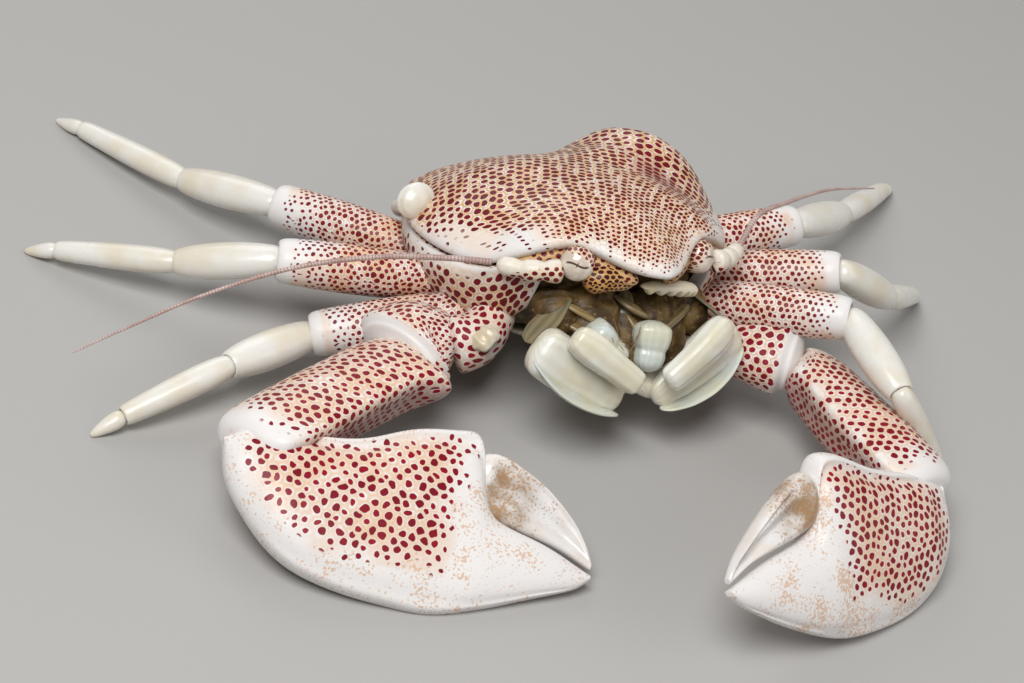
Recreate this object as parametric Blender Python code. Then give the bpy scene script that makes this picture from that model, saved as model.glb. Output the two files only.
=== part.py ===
"""Spotted porcelain crab at life size, still, resting on its leg tips and claws.

The crab faces -Y and its right side is -X. Metres, +Z up, the floor is z = 0, and the
origin is on the floor under the middle of the whole animal. Lengths below are in
millimetres and angles in degrees, and MM turns them into metres.
"""
from math import asin, atan2, cos, degrees, exp, pi, radians, sin

import bmesh
import bpy
from mathutils import Matrix, Vector

MM = 0.001
GAP = 0.3            # clearance between neighbouring pieces
SIDES = {"right": -1, "left": 1}

# Stance of the body: height of the shell margin, nose lifted, left side a little low
BODY_HEIGHT = 11.8
NOSE_UP = 20.0
LEFT_DOWN = 5.0

# Carapace, in the body frame: x to the left side, y to the back, z up from the margin
DOME_HEIGHT = 5.5
DOME_CENTRE = Vector((0, 0.5, 0))
MARGIN_THICKNESS = 0.9
MARGIN = [           # half outline from the tip of the front round to the tail
    (0, -16.8, 0.3), (1.7, -15.8, 0.4), (3.4, -14.2, 0.9), (5.0, -12.7, 1.6),
    (6.4, -11.8, 2.0), (7.8, -11.2, 1.9), (9.4, -10.2, 1.3), (10.9, -8.9, 0.5),
    (12.1, -7.2, -0.4), (13.2, -5.4, -0.7), (14.2, -3.0, -0.6), (14.6, 0.0, -0.4),
    (14.4, 3.0, -0.2), (13.4, 6.2, 0.0), (11.9, 9.3, 0.2), (9.6, 12.1, 0.4),
    (6.4, 14.0, 0.5), (3.2, 14.3, 0.5), (0, 13.9, 0.5),
]
BACK_SLOPE = 0.03    # share of the dome's height lost for each millimetre behind y = 2
SWELLING = {"at": (10.3, 5.4), "height": 3.5, "across": 6.3, "along": 6.6}
BULGE = {"at": (13.6, 4.0), "out": 1.9, "across": 4.2, "along": 7.5}   # of the left margin
FURROW = {"at": (6.2, 2.6), "depth": 0.9, "across": 1.5, "along": 6.0, "turn": 28}

# Side walls and the underside of the body
WALL_THICKNESS = 1.0
WALL_DEPTH = 6.9
STERNUM_LEVEL = -8.0

# Eyes
EYE_RADIUS = 1.35
EYE_BASE = (5.0, -9.9, -0.2)
EYE_TIP = (6.9, -12.9, 0.35)

# Antennae: the base along the shell margin, then the long ringed flagellum
ANTENNA_BASE = [(7.6, -12.0, -0.4), (9.2, -11.4, -0.5), (10.8, -10.3, -0.6), (12.4, -9.0, -0.4)]
ANTENNULE = {        # across the front between the eyes, the left one hanging lower
    "right": [(5.4, -12.1, -1.5), (3.6, -12.9, -0.9), (1.3, -13.4, -1.2)],
    "left": [(6.0, -12.2, -2.7), (3.6, -13.0, -2.2), (1.2, -13.3, -2.3)],
}
FLAGELLUM_RADIUS = 0.34
FLAGELLUM = {        # world points after the base, on the floor frame
    "right": [(-16.0, -6.6, 15.4), (-20.9, -3.8, 14.2), (-27.3, -1.3, 12.2),
              (-34.4, -0.2, 9.8), (-40.5, -0.5, 8.0), (-46.3, -1.3, 6.6)],
    "left": [(15.6, -6.6, 14.9), (19.6, -5.5, 15.0), (25.5, -4.0, 14.4), (32.5, -2.5, 12.4)],
}

# Third maxillipeds, held open in a V under the mouth, in the body frame (left one)
MOUTHPART = {
    "ischium": [(2.4, -9.5, -7.4), (2.4, -11.6, -9.8), (2.0, -13.7, -11.9)],
    "merus": [(1.7, -14.2, -11.9), (5.4, -13.7, -9.6), (10.3, -13.1, -6.3)],
    "carpus": [(7.9, -15.2, -4.9), (4.9, -16.0, -7.1), (1.4, -16.4, -9.6)],
}
PALP = {             # the right one is folded out behind its bar, the left one stands up
    "right": [(1.6, -13.6, -8.6), (3.4, -13.4, -6.9), (5.3, -13.2, -5.3)],
    "left": [(1.5, -14.2, -8.9), (1.6, -13.7, -7.0), (1.7, -13.3, -5.0)],
}

# Walking legs: segment lengths shared by both sides, half widths along each segment
LEG_LENGTHS = {      # merus, carpus, propodus, dactyl
    "front": (17.2, 8.9, 9.9, 3.1),
    "middle": (17.9, 9.1, 11.3, 3.2),
    "rear": (18.5, 10.3, 12.9, 3.4),
}
LEG_ROOTS = {"front": (8.2, -4.6, -5.9), "middle": (8.8, -0.6, -5.3), "rear": (8.2, 3.4, -4.9)}
LEG_POSE = {         # heading and rise of the merus and carpus, heading of the propodus
    ("front", "right"): ((161, -16), (-165, 1), -173),
    ("middle", "right"): ((155, -1), (143, -20), 138),
    ("rear", "right"): ((132, -4), (121, -16), 116),
    ("front", "left"): ((-46, 15.5), (-92, -7), -17),
    ("middle", "left"): ((-38, 19.6), (6, -33), 31),
    ("rear", "left"): ((-7, 8), (23, -17), 31),
}
DACTYL_BEND = 8.0    # the last segment bends down from the one before
TIP_RADIUS = 0.16
TIP_SINK = 0.04      # how much of each tip the floor flat takes off

# The tiny last legs, folded forwards along the shell; the left one lies lower
SMALL_LEG = {
    "right": [(5.2, 12.0, -3.6), (8.4, 15.4, -1.8), (11.9, 12.6, 0.0), (14.0, 8.6, 1.3),
              (14.7, 4.4, 1.7), (14.5, 0.0, 1.4)],
    "left": [(5.2, 12.0, -3.6), (8.8, 15.8, -1.6), (12.6, 14.2, -0.6), (15.0, 11.4, -0.1),
             (16.0, 8.4, 0.2), (16.0, 5.8, 0.4)],
}

# Claw legs, on the floor frame from the end of the root segment to the claw
ARM_ROOT = (7.0, -6.6, -6.5)
ARM_JOINTS = {
    "right": {"ischium": [(-11.0, -8.6, 7.4), (-15.0, -8.0, 6.7)],
              "merus": [(-14.4, -8.1, 6.8), (-17.4, -7.0, 6.6), (-20.0, -8.0, 6.1)],
              "carpus": [(-19.3, -8.0, 5.7), (-36.7, -15.6, 6.28)]},
    "left": {"ischium": [(8.0, -11.6, 6.3), (10.6, -13.1, 5.7)],
             "merus": [(10.2, -12.9, 5.8), (13.0, -15.2, 6.6), (15.8, -17.9, 7.0)],
             "carpus": [(15.7, -18.3, 6.5), (17.63, -35.09, 6.07)]},
}
ARM_MERUS_RADII = {
    "right": (2.0, 3.6, 4.1, 4.5, 4.7, 4.7, 4.1),
    "left": (2.0, 3.1, 3.6, 3.9, 4.1, 4.1, 3.5),
}
CARPUS_SHAPE = [     # share of the length, half width, half depth, shift to the inner side
    (-0.05, 1.0, 1.0, 0.0), (-0.02, 2.6, 2.2, 0.2), (0.1, 4.4, 2.8, 0.6), (0.3, 4.4, 3.0, 0.3),
    (0.65, 4.4, 3.0, -0.1), (0.9, 4.2, 2.7, -0.4), (0.98, 3.3, 2.1, -0.4), (1.0, 2.0, 1.2, -0.3),
]
CARPUS_ROLL = {"right": 15.0, "left": -15.0}
CLAW_POSE = {        # heading, rise, roll and length
    "right": (-33.6, -9.2, 25.2, 29.4),
    "left": (-165.7, 4.5, -50.0, 25.6),
}
PALM_THICKNESS = 5.2
PALM_OUTER = {       # share of the claw's length, distance outwards from its axis
    "right": [(-0.075, 0.0), (-0.03, 3.1), (0.08, 6.2), (0.19, 8.0), (0.33, 8.6),
              (0.48, 8.4), (0.6, 7.9), (0.725, 6.1), (0.86, 3.6), (0.96, 1.6), (1.0, 0.2)],
    "left": [(-0.075, 0.0), (-0.06, 3.0), (-0.02, 5.6), (0.08, 7.7), (0.24, 8.8),
             (0.44, 8.6), (0.585, 7.7), (0.765, 5.3), (0.91, 2.6), (0.97, 1.2), (1.0, 0.2)],
}
PALM_INNER = {       # the same on the side of the movable finger, down into the gape
    "right": [(-0.075, 0.4), (0.0, 2.6), (0.13, 2.9), (0.28, 4.2), (0.41, 6.6), (0.53, 7.9),
              (0.605, 8.4), (0.625, 6.2), (0.655, 3.4), (0.70, 1.6), (0.86, 0.9), (1.0, -0.2)],
    "left": [(-0.075, 0.4), (0.0, 1.6), (0.12, 3.0), (0.27, 4.5), (0.43, 6.9), (0.51, 7.3),
             (0.54, 6.6), (0.56, 4.6), (0.59, 2.4), (0.63, 1.2), (0.80, 0.7), (1.0, -0.2)],
}
FINGER_OUTER = {
    "right": [(0.60, 6.2), (0.63, 6.9), (0.69, 7.0), (0.81, 5.8), (0.915, 3.7),
              (0.97, 2.0), (1.0, 0.6)],
    "left": [(0.53, 5.2), (0.56, 6.2), (0.62, 6.2), (0.73, 5.1), (0.88, 3.0),
             (0.96, 1.6), (1.0, 0.6)],
}

COLOURS = {          # base colour, roughness
    "spotted_shell": ((0.62, 0.33, 0.27), 0.28),
    "white_shell": ((0.80, 0.76, 0.68), 0.30),
    "mouthparts": ((0.78, 0.76, 0.66), 0.26),
    "flesh": ((0.45, 0.33, 0.22), 0.45),
    "eye": ((0.72, 0.62, 0.52), 0.12),
    "antenna": ((0.55, 0.38, 0.36), 0.35),
}

# A cut is tried with these solvers and shares of the gap until its surface is whole
CUT_TRIES = [(solver, share) for share in (1.0, 1.07, 0.94, 1.15, 0.9)
             for solver in ("EXACT", "MANIFOLD")]
WELDS = (0.000004, 0.000001, 0.0000001)

parts = bpy.data.collections.new("spotted_porcelain_crab")
cutters = bpy.data.collections.new("cutters")


def clear_scene():
    """Start from an empty scene with the crab's two collections."""
    for obj in list(bpy.data.objects):
        bpy.data.objects.remove(obj)
    bpy.context.scene.collection.children.link(parts)
    bpy.context.scene.collection.children.link(cutters)


def shell_material(name):
    """One glossy, non-metallic material for a kind of surface."""
    material = bpy.data.materials.get(name)
    if material is None:
        material = bpy.data.materials.new(name)
        material.use_nodes = True
        shader = material.node_tree.nodes["Principled BSDF"]
        colour, roughness = COLOURS[name]
        shader.inputs["Base Color"].default_value = (*colour, 1)
        shader.inputs["Roughness"].default_value = roughness
        shader.inputs["Metallic"].default_value = 0.0
    return material


def spline(points, count):
    """Points read evenly from a smooth curve through the given points."""
    pts = [Vector(p) for p in points]
    pts = [2 * pts[0] - pts[1]] + pts + [2 * pts[-1] - pts[-2]]
    spans = len(pts) - 3
    out = []
    for i in range(count):
        t = spans * i / (count - 1)
        k = min(int(t), spans - 1)
        t -= k
        p0, p1, p2, p3 = pts[k:k + 4]
        out.append(0.5 * (2 * p1 + (p2 - p0) * t + (2 * p0 - 5 * p1 + 4 * p2 - p3) * t ** 2
                          + (3 * p1 - p0 - 3 * p2 + p3) * t ** 3))
    return out


def level_at(table, x):
    """Height over x on the straight lines between the table's (x, height) pairs."""
    for (x0, y0), (x1, y1) in zip(table, table[1:]):
        if x <= x1:
            t = max(0.0, (x - x0) / (x1 - x0))
            return y0 + (y1 - y0) * t
    return table[-1][1]


def body_pose():
    """From the body frame to the floor frame, in millimetres."""
    return (Matrix.Translation((0, 0, BODY_HEIGHT)) @ Matrix.Rotation(radians(-NOSE_UP), 4, "X")
            @ Matrix.Rotation(radians(LEFT_DOWN), 4, "Y"))


def segment_frame(start, heading, rise, roll=0.0):
    """A frame at start whose X axis runs along the segment and whose Z axis is its top."""
    turn = (Matrix.Rotation(radians(heading), 4, "Z") @ Matrix.Rotation(radians(-rise), 4, "Y")
            @ Matrix.Rotation(radians(roll), 4, "X"))
    return Matrix.Translation(start) @ turn


def add_piece(name, bm, material, frame, parent):
    """Turn a bmesh in millimetres into a named object of the crab."""
    bmesh.ops.recalc_face_normals(bm, faces=bm.faces)
    bmesh.ops.scale(bm, vec=(MM, MM, MM), verts=bm.verts)
    mesh = bpy.data.meshes.new(name)
    bm.to_mesh(mesh)
    bm.free()
    mesh.materials.append(shell_material(material))
    mesh.shade_smooth()
    mesh.set_sharp_from_angle(angle=radians(40))
    obj = bpy.data.objects.new(name, mesh)
    placed = frame.copy()
    placed.translation *= MM
    obj.matrix_local = placed
    obj.parent = parent
    parts.objects.link(obj)
    return obj


def loft(rings, bent=False):
    """Skin between rings of equal length, its ends closed by a fan of faces.

    The ends of a bent section, like that of a bowl, are closed from one side of the bend
    to the other, in a strip.
    """
    bm = bmesh.new()
    rows = [[bm.verts.new(p) for p in ring] for ring in rings]
    n = len(rings[0])
    for a, b in zip(rows, rows[1:]):
        for i in range(n):
            bm.faces.new((a[i], a[(i + 1) % n], b[(i + 1) % n], b[i]))
    for row in (rows[0], rows[-1]):
        if bent:
            for i in range(n // 2 - 1):
                bm.faces.new((row[i], row[i + 1], row[n - 2 - i], row[n - 1 - i]))
        else:
            middle = bm.verts.new(sum((v.co for v in row), Vector()) / n)
            for i in range(n):
                bm.faces.new((row[i], row[(i + 1) % n], middle))
    return bm


def oval_ring(x, half_width, half_depth, count, y=0.0, z=0.0, edge=0.0, edge_at=45):
    """An oval across X, with an optional raised edge at one angle."""
    ring = []
    for i in range(count):
        angle = 2 * pi * (i + 0.5) / count
        off = (angle - radians(edge_at) + pi) % (2 * pi) - pi
        swell = 1 + edge * exp(-(off / 0.45) ** 2)
        ring.append(Vector((x, y + half_width * cos(angle) * swell,
                            z + half_depth * sin(angle) * swell)))
    return ring


def segment_piece(name, frame, length, profile, material, parent, count=8, mirror=1,
                  edge=0.0, edge_at=45, stations=8):
    """A limb segment along X: ovals whose half width and depth follow a profile.

    The profile has (share of the length, half width, half depth, sideways shift).
    """
    rings = []
    for row in spline([Vector((p[0], p[1], p[2])) for p in profile], stations):
        shift = level_at([(p[0], p[3]) for p in profile], row.x)
        ring = oval_ring(row.x * length, row.y, row.z, count, shift, 0.0, edge, edge_at)
        rings.append([Vector((p.x, p.y * mirror, p.z)) for p in ring])
    return add_piece(name, loft(rings), material, frame, parent)


def tube_piece(name, points, radii, material, parent, count=8, stations=12, flatten=1.0,
               frame=None, up=Vector((0, 0, 1))):
    """A round or flattened tube along a smooth path, its radius following the radii."""
    path = spline(points, stations)
    table = [(i / (len(radii) - 1), r) for i, r in enumerate(radii)]
    rings = []
    for k, point in enumerate(path):
        ahead = path[min(k + 1, stations - 1)] - path[max(k - 1, 0)]
        side = ahead.normalized().cross(up).normalized()
        top = side.cross(ahead.normalized())
        radius = level_at(table, k / (stations - 1))
        rings.append([point + side * radius * cos(2 * pi * i / count)
                      + top * radius * flatten * sin(2 * pi * i / count)
                      for i in range(count)])
    return add_piece(name, loft(rings), material, frame or Matrix(), parent)


def world_mesh(obj):
    """The object's evaluated mesh as a bmesh in world space."""
    graph = bpy.context.evaluated_depsgraph_get()
    mesh = bpy.data.meshes.new_from_object(obj.evaluated_get(graph))
    bm = bmesh.new()
    bm.from_mesh(mesh)
    bm.transform(obj.matrix_world)
    bpy.data.meshes.remove(mesh)
    return bm


def keep_largest(bm):
    """Leave only the closed surface with the most room inside it."""
    seen, groups = set(), []
    for face in bm.faces:
        if face in seen:
            continue
        group, queue = [], [face]
        seen.add(face)
        while queue:
            current = queue.pop()
            group.append(current)
            for edge in current.edges:
                for other in edge.link_faces:
                    if other not in seen:
                        seen.add(other)
                        queue.append(other)
        groups.append(group)
    groups.sort(key=lambda group: sum(face.calc_area() for face in group))
    loose = [face for group in groups[:-1] for face in group]
    bmesh.ops.delete(bm, geom=loose, context="FACES")


def evaluated_bmesh(obj, weld):
    """The object's evaluated mesh in its own frame, welded and without slivers."""
    graph = bpy.context.evaluated_depsgraph_get()
    mesh = bpy.data.meshes.new_from_object(obj.evaluated_get(graph))
    bm = bmesh.new()
    bm.from_mesh(mesh)
    bpy.data.meshes.remove(mesh)
    bmesh.ops.remove_doubles(bm, verts=bm.verts, dist=weld)
    bmesh.ops.dissolve_degenerate(bm, edges=bm.edges, dist=weld / 2)
    return bm


def is_sound(bm, least_volume):
    """Whether the surface is closed and still holds most of its volume."""
    return (bm.calc_volume() > least_volume and all(edge.is_manifold for edge in bm.edges)
            and all(vert.is_manifold for vert in bm.verts))


def reach_of(obj):
    """The object's lowest and highest world coordinates."""
    corners = [obj.matrix_world @ vert.co for vert in obj.data.vertices]
    return [(min(c[axis] for c in corners), max(c[axis] for c in corners)) for axis in range(3)]


def are_apart(obj, other, gap):
    """Whether the boxes round two objects are more than twice the gap from each other."""
    return any(a[0] > b[1] + 2 * gap * MM or b[0] > a[1] + 2 * gap * MM
               for a, b in zip(reach_of(obj), reach_of(other)))


def swollen_copy(obj, gap):
    """A cutter in world space that stands proud of the object by the gap."""
    bm = world_mesh(obj)
    bm.normal_update()
    moved = [(vert, vert.co + vert.normal * gap * MM) for vert in bm.verts]
    for vert, place in moved:
        vert.co = place
    mesh = bpy.data.meshes.new("cutter")
    bm.to_mesh(mesh)
    bm.free()
    cutter = bpy.data.objects.new("cutter", mesh)
    cutter.hide_render = True
    cutter.display_type = "WIRE"
    cutters.objects.link(cutter)
    return cutter


def whole_cut(obj, other, gap, least_volume):
    """The object less its swollen neighbour, as a closed bmesh."""
    cut = obj.modifiers.new("socket", "BOOLEAN")
    cut.operation = "DIFFERENCE"
    for solver, share in CUT_TRIES:
        cutter = swollen_copy(other, gap * share)
        cut.object = cutter
        cut.solver = solver
        bpy.context.view_layer.update()
        found = None
        for weld in WELDS:
            bm = evaluated_bmesh(obj, weld)
            if is_sound(bm, least_volume):
                found = bm
                break
            bm.free()
        bpy.data.objects.remove(cutter)
        if found:
            obj.modifiers.clear()
            return found
    raise ValueError(f"{obj.name} has no whole cut by {other.name}")


def carve(obj, others, gap=GAP):
    """Cut a piece clear of its neighbours, leaving a socket that is a gap wide."""
    bpy.context.view_layer.update()
    for other in others:
        if are_apart(obj, other, gap):
            continue
        whole = evaluated_bmesh(obj, WELDS[0])
        least_volume = whole.calc_volume() * 0.4
        whole.free()
        bm = whole_cut(obj, other, gap, least_volume)
        keep_largest(bm)
        bmesh.ops.triangulate(bm, faces=bm.faces)
        bm.to_mesh(obj.data)
        bm.free()
        obj.data.set_sharp_from_angle(angle=radians(40))


def rest_on_floor(obj):
    """Give a piece that reaches the floor a small flat there."""
    bpy.context.view_layer.update()
    bm = bmesh.new()
    bm.from_mesh(obj.data)
    to_local = obj.matrix_world.inverted()
    point = to_local @ Vector((0, 0, 0))
    normal = (to_local.to_3x3() @ Vector((0, 0, 1))).normalized()
    bmesh.ops.bisect_plane(bm, geom=bm.verts[:] + bm.edges[:] + bm.faces[:], dist=1e-7,
                           plane_co=point, plane_no=normal, clear_inner=True)
    rim = [edge for edge in bm.edges if edge.is_boundary]
    if rim:
        bmesh.ops.holes_fill(bm, edges=rim, sides=0)
    bmesh.ops.recalc_face_normals(bm, faces=bm.faces)
    bmesh.ops.triangulate(bm, faces=bm.faces)
    bm.to_mesh(obj.data)
    bm.free()


def dome_height(x, y, reach):
    """Height of the shell over the margin, with the left swelling and its furrow."""
    height = DOME_HEIGHT * (1 - reach ** 2.6) ** 0.8 * (1 - BACK_SLOPE * max(0.0, y - 2))
    dx, dy = x - SWELLING["at"][0], y - SWELLING["at"][1]
    far = (dx / SWELLING["across"]) ** 2 + (dy / SWELLING["along"]) ** 2
    height += SWELLING["height"] * exp(-far ** 1.6) * (1 - reach ** 10)
    turn = radians(FURROW["turn"])
    fx, fy = x - FURROW["at"][0], y - FURROW["at"][1]
    across = fx * cos(turn) + fy * sin(turn)
    along = -fx * sin(turn) + fy * cos(turn)
    groove = exp(-(across / FURROW["across"]) ** 2 - (along / FURROW["along"]) ** 2)
    return height - FURROW["depth"] * groove * (1 - reach ** 4)


def pushed_out(point, share=1.0):
    """The swelling also pushes the shell's left side outwards."""
    dx, dy = point.x - BULGE["at"][0], point.y - BULGE["at"][1]
    off = exp(-(dx / BULGE["across"]) ** 2 - (dy / BULGE["along"]) ** 2) * BULGE["out"]
    return Vector((point.x + off * share, point.y, point.z))


def margin_loop(count):
    """The shell's margin as a closed loop, from the tip of the front round to its right."""
    half = spline(MARGIN, count // 2 + 1)
    return half + [Vector((-p.x, p.y, p.z)) for p in reversed(half[1:-1])]


def make_carapace(body):
    """The domed shell with its thin margin, open below onto the body."""
    loop = margin_loop(48)
    rings = []
    for reach in (0.16, 0.36, 0.54, 0.7, 0.83, 0.93, 1.0):
        ring = []
        for p in loop:
            x = DOME_CENTRE.x + (p.x - DOME_CENTRE.x) * reach
            y = DOME_CENTRE.y + (p.y - DOME_CENTRE.y) * reach
            height = p.z * reach ** 3 + dome_height(x, y, reach)
            ring.append(pushed_out(Vector((x, y, height)), reach))
        rings.append(ring)
    for reach, drop in ((0.985, 0.7), (0.93, 1.0), (0.5, 1.0)):
        ring = [Vector((DOME_CENTRE.x + (p.x - DOME_CENTRE.x) * reach,
                        DOME_CENTRE.y + (p.y - DOME_CENTRE.y) * reach,
                        p.z * reach ** 3 - drop * MARGIN_THICKNESS)) for p in loop]
        rings.append([pushed_out(p) for p in ring])
    return add_piece("carapace", loft(rings), "spotted_shell", body["frame"], body["root"])


def outward(point):
    """The level direction from the middle of the shell to a point of its margin."""
    return Vector((point.x - DOME_CENTRE.x, point.y - DOME_CENTRE.y, 0)).normalized()


def make_wall(side, body):
    """The spotted wall under the shell's margin, down to the roots of the legs."""
    sign = SIDES[side]
    line = spline(MARGIN, 37)[10:29]
    rings = []
    for k, p in enumerate(line):
        out = outward(p)
        share = k / (len(line) - 1)
        depth = WALL_DEPTH - 2.0 * max(0.0, share - 0.5)
        tuck = 2.3 + 0.6 * share
        lean = Vector((sign * 2.0, 0.9, 0)) * max(0.0, 1 - share * 4)
        t = WALL_THICKNESS
        section = [(-0.35, -1.3), (-0.1, -2.6), (-0.75, -4.5), (-tuck, -depth),
                   (-tuck - 0.8 * t, -depth + 0.5), (-0.9 - t, -4.2), (-0.3 - t, -2.6),
                   (-0.45 - t, -1.3)]
        ring = [Vector((sign * (p.x + out.x * a), p.y + out.y * a, p.z + b))
                + lean * (-b / depth) for a, b in section]
        rings.append([pushed_out(p, 1 + 0.5 * b / depth) for p, (a, b) in zip(ring, section)])
    return add_piece(f"side_wall_{side}", loft(rings, bent=True), "spotted_shell",
                     body["frame"], body["root"])


def make_thorax(body):
    """The body inside the walls, with the flat sternum below and the mouth in front."""
    rings = []
    for level, inset, front in ((-1.25, 2.4, -10.6), (-3.4, 2.1, -9.4), (-5.4, 2.8, -8.9),
                                (-7.0, 4.8, -9.0), (STERNUM_LEVEL, 6.8, -8.6)):
        loop = margin_loop(32)
        ring = []
        for p in loop:
            out = outward(p)
            x, y = p.x - out.x * inset, p.y - out.y * inset
            lift = max(0.0, y - 4.0) * 0.16
            ring.append(Vector((x, max(y, front), min(p.z, 0) * 0.4 + level + lift * (level < -4))))
        rings.append(ring)
    return add_piece("thorax", loft(rings), "flesh", body["frame"], body["root"])


def make_abdomen(body):
    """The tail folded under the body, its plates stepped, and the fan at its end."""
    pieces = {}
    path = {"abdomen": [(0, 13.9, -1.9), (0, 15.0, -3.4), (0, 14.0, -5.4), (0, 9.5, -7.6),
                        (0, 3.0, -9.0)],
            "tail_fan": [(0, 2.6, -9.1), (0, -1.5, -9.6), (0, -5.2, -9.6)]}
    widths = {"abdomen": (4.6, 6.2, 7.0, 7.0, 6.4), "tail_fan": (6.2, 7.2, 4.6)}
    for name, points in path.items():
        count = 19 if name == "abdomen" else 9
        line = spline(points, count)
        table = [(i / (len(widths[name]) - 1), w) for i, w in enumerate(widths[name])]
        rings = []
        for k, p in enumerate(line):
            ahead = (line[min(k + 1, count - 1)] - line[max(k - 1, 0)]).normalized()
            top = Vector((1, 0, 0)).cross(ahead)
            width = level_at(table, k / (count - 1))
            thick = 0.75 + (0.16 if name == "abdomen" and k % 3 == 1 else 0.0)
            ring = []
            for i in range(14):
                angle = 2 * pi * i / 14
                bend = top * 0.9 * (1 - cos(angle) ** 2)
                ring.append(p + Vector((width * cos(angle), 0, 0)) + top * thick * sin(angle)
                            - bend * 0.6)
            rings.append(ring)
        pieces[name] = add_piece(name, loft(rings), "white_shell", body["frame"], body["root"])
    return pieces


def make_head(side, body):
    """Eye on its stalk, antenna and antennule of one side."""
    sign = SIDES[side]

    def there(point):
        return Vector((sign * point[0], point[1], point[2]))

    base, tip = there(EYE_BASE), there(EYE_TIP)
    r = EYE_RADIUS
    eye = tube_piece(f"eye_{side}", [base, base.lerp(tip, 0.35), base.lerp(tip, 0.7), tip],
                     (0.62 * r, 0.74 * r, 0.86 * r, 1.0 * r, 0.98 * r, 0.8 * r, 0.3 * r),
                     "eye", body["root"], count=12, stations=11, frame=body["frame"])
    antenna = tube_piece(f"antenna_base_{side}", [there(p) for p in ANTENNA_BASE],
                         (0.5, 0.95, 0.85, 0.95, 0.8, 0.85, 0.4), "mouthparts", body["root"],
                         count=10, stations=10, frame=body["frame"])
    start = there(ANTENNA_BASE[-1])
    first = body["frame"] @ (start + (start - there(ANTENNA_BASE[-2])).normalized() * GAP)
    r = FLAGELLUM_RADIUS
    flagellum = tube_piece(f"flagellum_{side}", [first] + [Vector(p) for p in FLAGELLUM[side]],
                           (r, r, 0.9 * r, 0.8 * r, 0.7 * r, 0.35 * r), "antenna",
                           body["root"], count=6, stations=34)
    antennule = tube_piece(f"antennule_{side}",
                           [there(p) for p in ANTENNULE[side]],
                           (0.5, 1.05, 1.1, 0.9, 0.45), "spotted_shell", body["root"],
                           count=8, stations=8, frame=body["frame"])
    return {"eye": eye, "antenna": antenna, "flagellum": flagellum, "antennule": antennule}


def make_mouthparts(side, body):
    """The third maxilliped of one side: plate, arm, bar and palp."""
    sign = SIDES[side]
    sizes = {"ischium": ((1.2, 2.0, 2.2, 1.5), 0.55),
             "merus": ((1.1, 1.9, 2.2, 2.4, 2.3, 1.3), 0.6),
             "carpus": ((0.9, 1.35, 1.5, 1.45, 1.0), 0.85),
             "palp": ((0.8, 1.2, 1.5, 1.45, 0.8), 0.85)}
    pieces = {}
    for part, points in (MOUTHPART | {"palp": PALP[side]}).items():
        radii, flatten = sizes[part]
        pieces[part] = tube_piece(f"maxilliped_{part}_{side}",
                                  [(sign * x, y, z) for x, y, z in points], radii, "mouthparts",
                                  body["root"], count=8, stations=8, flatten=flatten,
                                  frame=body["frame"], up=Vector((0, 1, 0)))
    return pieces


def rise_to_floor(height, propodus, dactyl):
    """The propodus's rise that brings the tip of the bent dactyl down to the floor."""
    low, high = -80.0, 20.0
    for _ in range(30):
        rise = (low + high) / 2
        tip = (height + propodus * sin(radians(rise))
               + dactyl * sin(radians(rise - DACTYL_BEND)))
        level = TIP_RADIUS * cos(radians(rise - DACTYL_BEND)) - TIP_SINK
        low, high = (rise, high) if tip < level else (low, rise)
    return rise


def make_leg(row, side, body):
    """One walking leg of four segments, from its root under the wall to its tip."""
    sign = SIDES[side]
    root = Vector(LEG_ROOTS[row])
    point = body["frame"] @ Vector((sign * root.x, root.y, root.z))
    merus, carpus, propodus, dactyl = LEG_LENGTHS[row]
    pose = LEG_POSE[(row, side)]
    pieces = {}
    shapes = {
        "merus": [(0.0, 1.2, 1.2, 0), (0.15, 1.6, 1.6, 0), (0.38, 2.3, 2.2, 0),
                  (0.68, 2.35, 2.25, 0), (0.9, 2.15, 2.1, 0), (0.985, 2.05, 1.95, 0),
                  (1.0, 1.5, 1.4, 0)],
        "carpus": [(-0.1, 0.5, 0.5, 0), (-0.06, 1.25, 1.1, 0), (0.08, 1.6, 1.4, 0),
                   (0.4, 1.9, 1.65, 0), (0.75, 1.8, 1.55, 0), (0.94, 1.4, 1.25, 0),
                   (1.0, 0.6, 0.6, 0)],
        "propodus": [(-0.07, 0.4, 0.4, 0), (-0.04, 0.95, 0.9, 0), (0.1, 1.3, 1.15, 0),
                     (0.4, 1.35, 1.2, 0), (0.8, 1.1, 1.0, 0), (0.97, 0.95, 0.9, 0),
                     (1.0, 0.5, 0.5, 0)],
        "dactyl": [(-0.1, 0.3, 0.3, 0), (0.05, 0.75, 0.7, 0), (0.3, 0.85, 0.75, 0),
                   (0.7, 0.55, 0.5, 0), (0.92, 0.32, 0.3, 0), (1.0, TIP_RADIUS, TIP_RADIUS, 0)],
    }
    for part, length in zip(shapes, (merus, carpus, propodus, dactyl)):
        if part in ("merus", "carpus"):
            heading, rise = pose[0] if part == "merus" else pose[1]
        elif part == "propodus":
            heading, rise = pose[2], rise_to_floor(point.z, propodus, dactyl)
        else:
            rise -= DACTYL_BEND
        frame = segment_frame(point, heading, rise)
        material = "spotted_shell" if part == "merus" else "white_shell"
        pieces[part] = segment_piece(f"leg_{row}_{side}_{part}", frame, length, shapes[part],
                                     material, body["root"])
        point = frame @ Vector((length, 0, 0))
    return pieces


def claw_rings(length, outer, inner, thickness, first, last, count, mirror, stations=18):
    """Lens-shaped sections between the claw's outer and inner outlines."""
    rings = []
    for k in range(stations):
        share = first + (last - first) * (0.5 - 0.5 * cos(pi * k / (stations - 1)))
        low, high = -level_at(outer, share), level_at(inner, share)
        middle, half = (low + high) / 2, max(0.15, (high - low) / 2)
        thick = level_at(thickness, share) / 2
        ring = []
        for i in range(count):
            angle = 2 * pi * i / count
            ring.append(Vector((share * length, mirror * (middle + half * cos(angle)),
                                thick * sin(angle))))
        rings.append(ring)
    return rings


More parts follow.
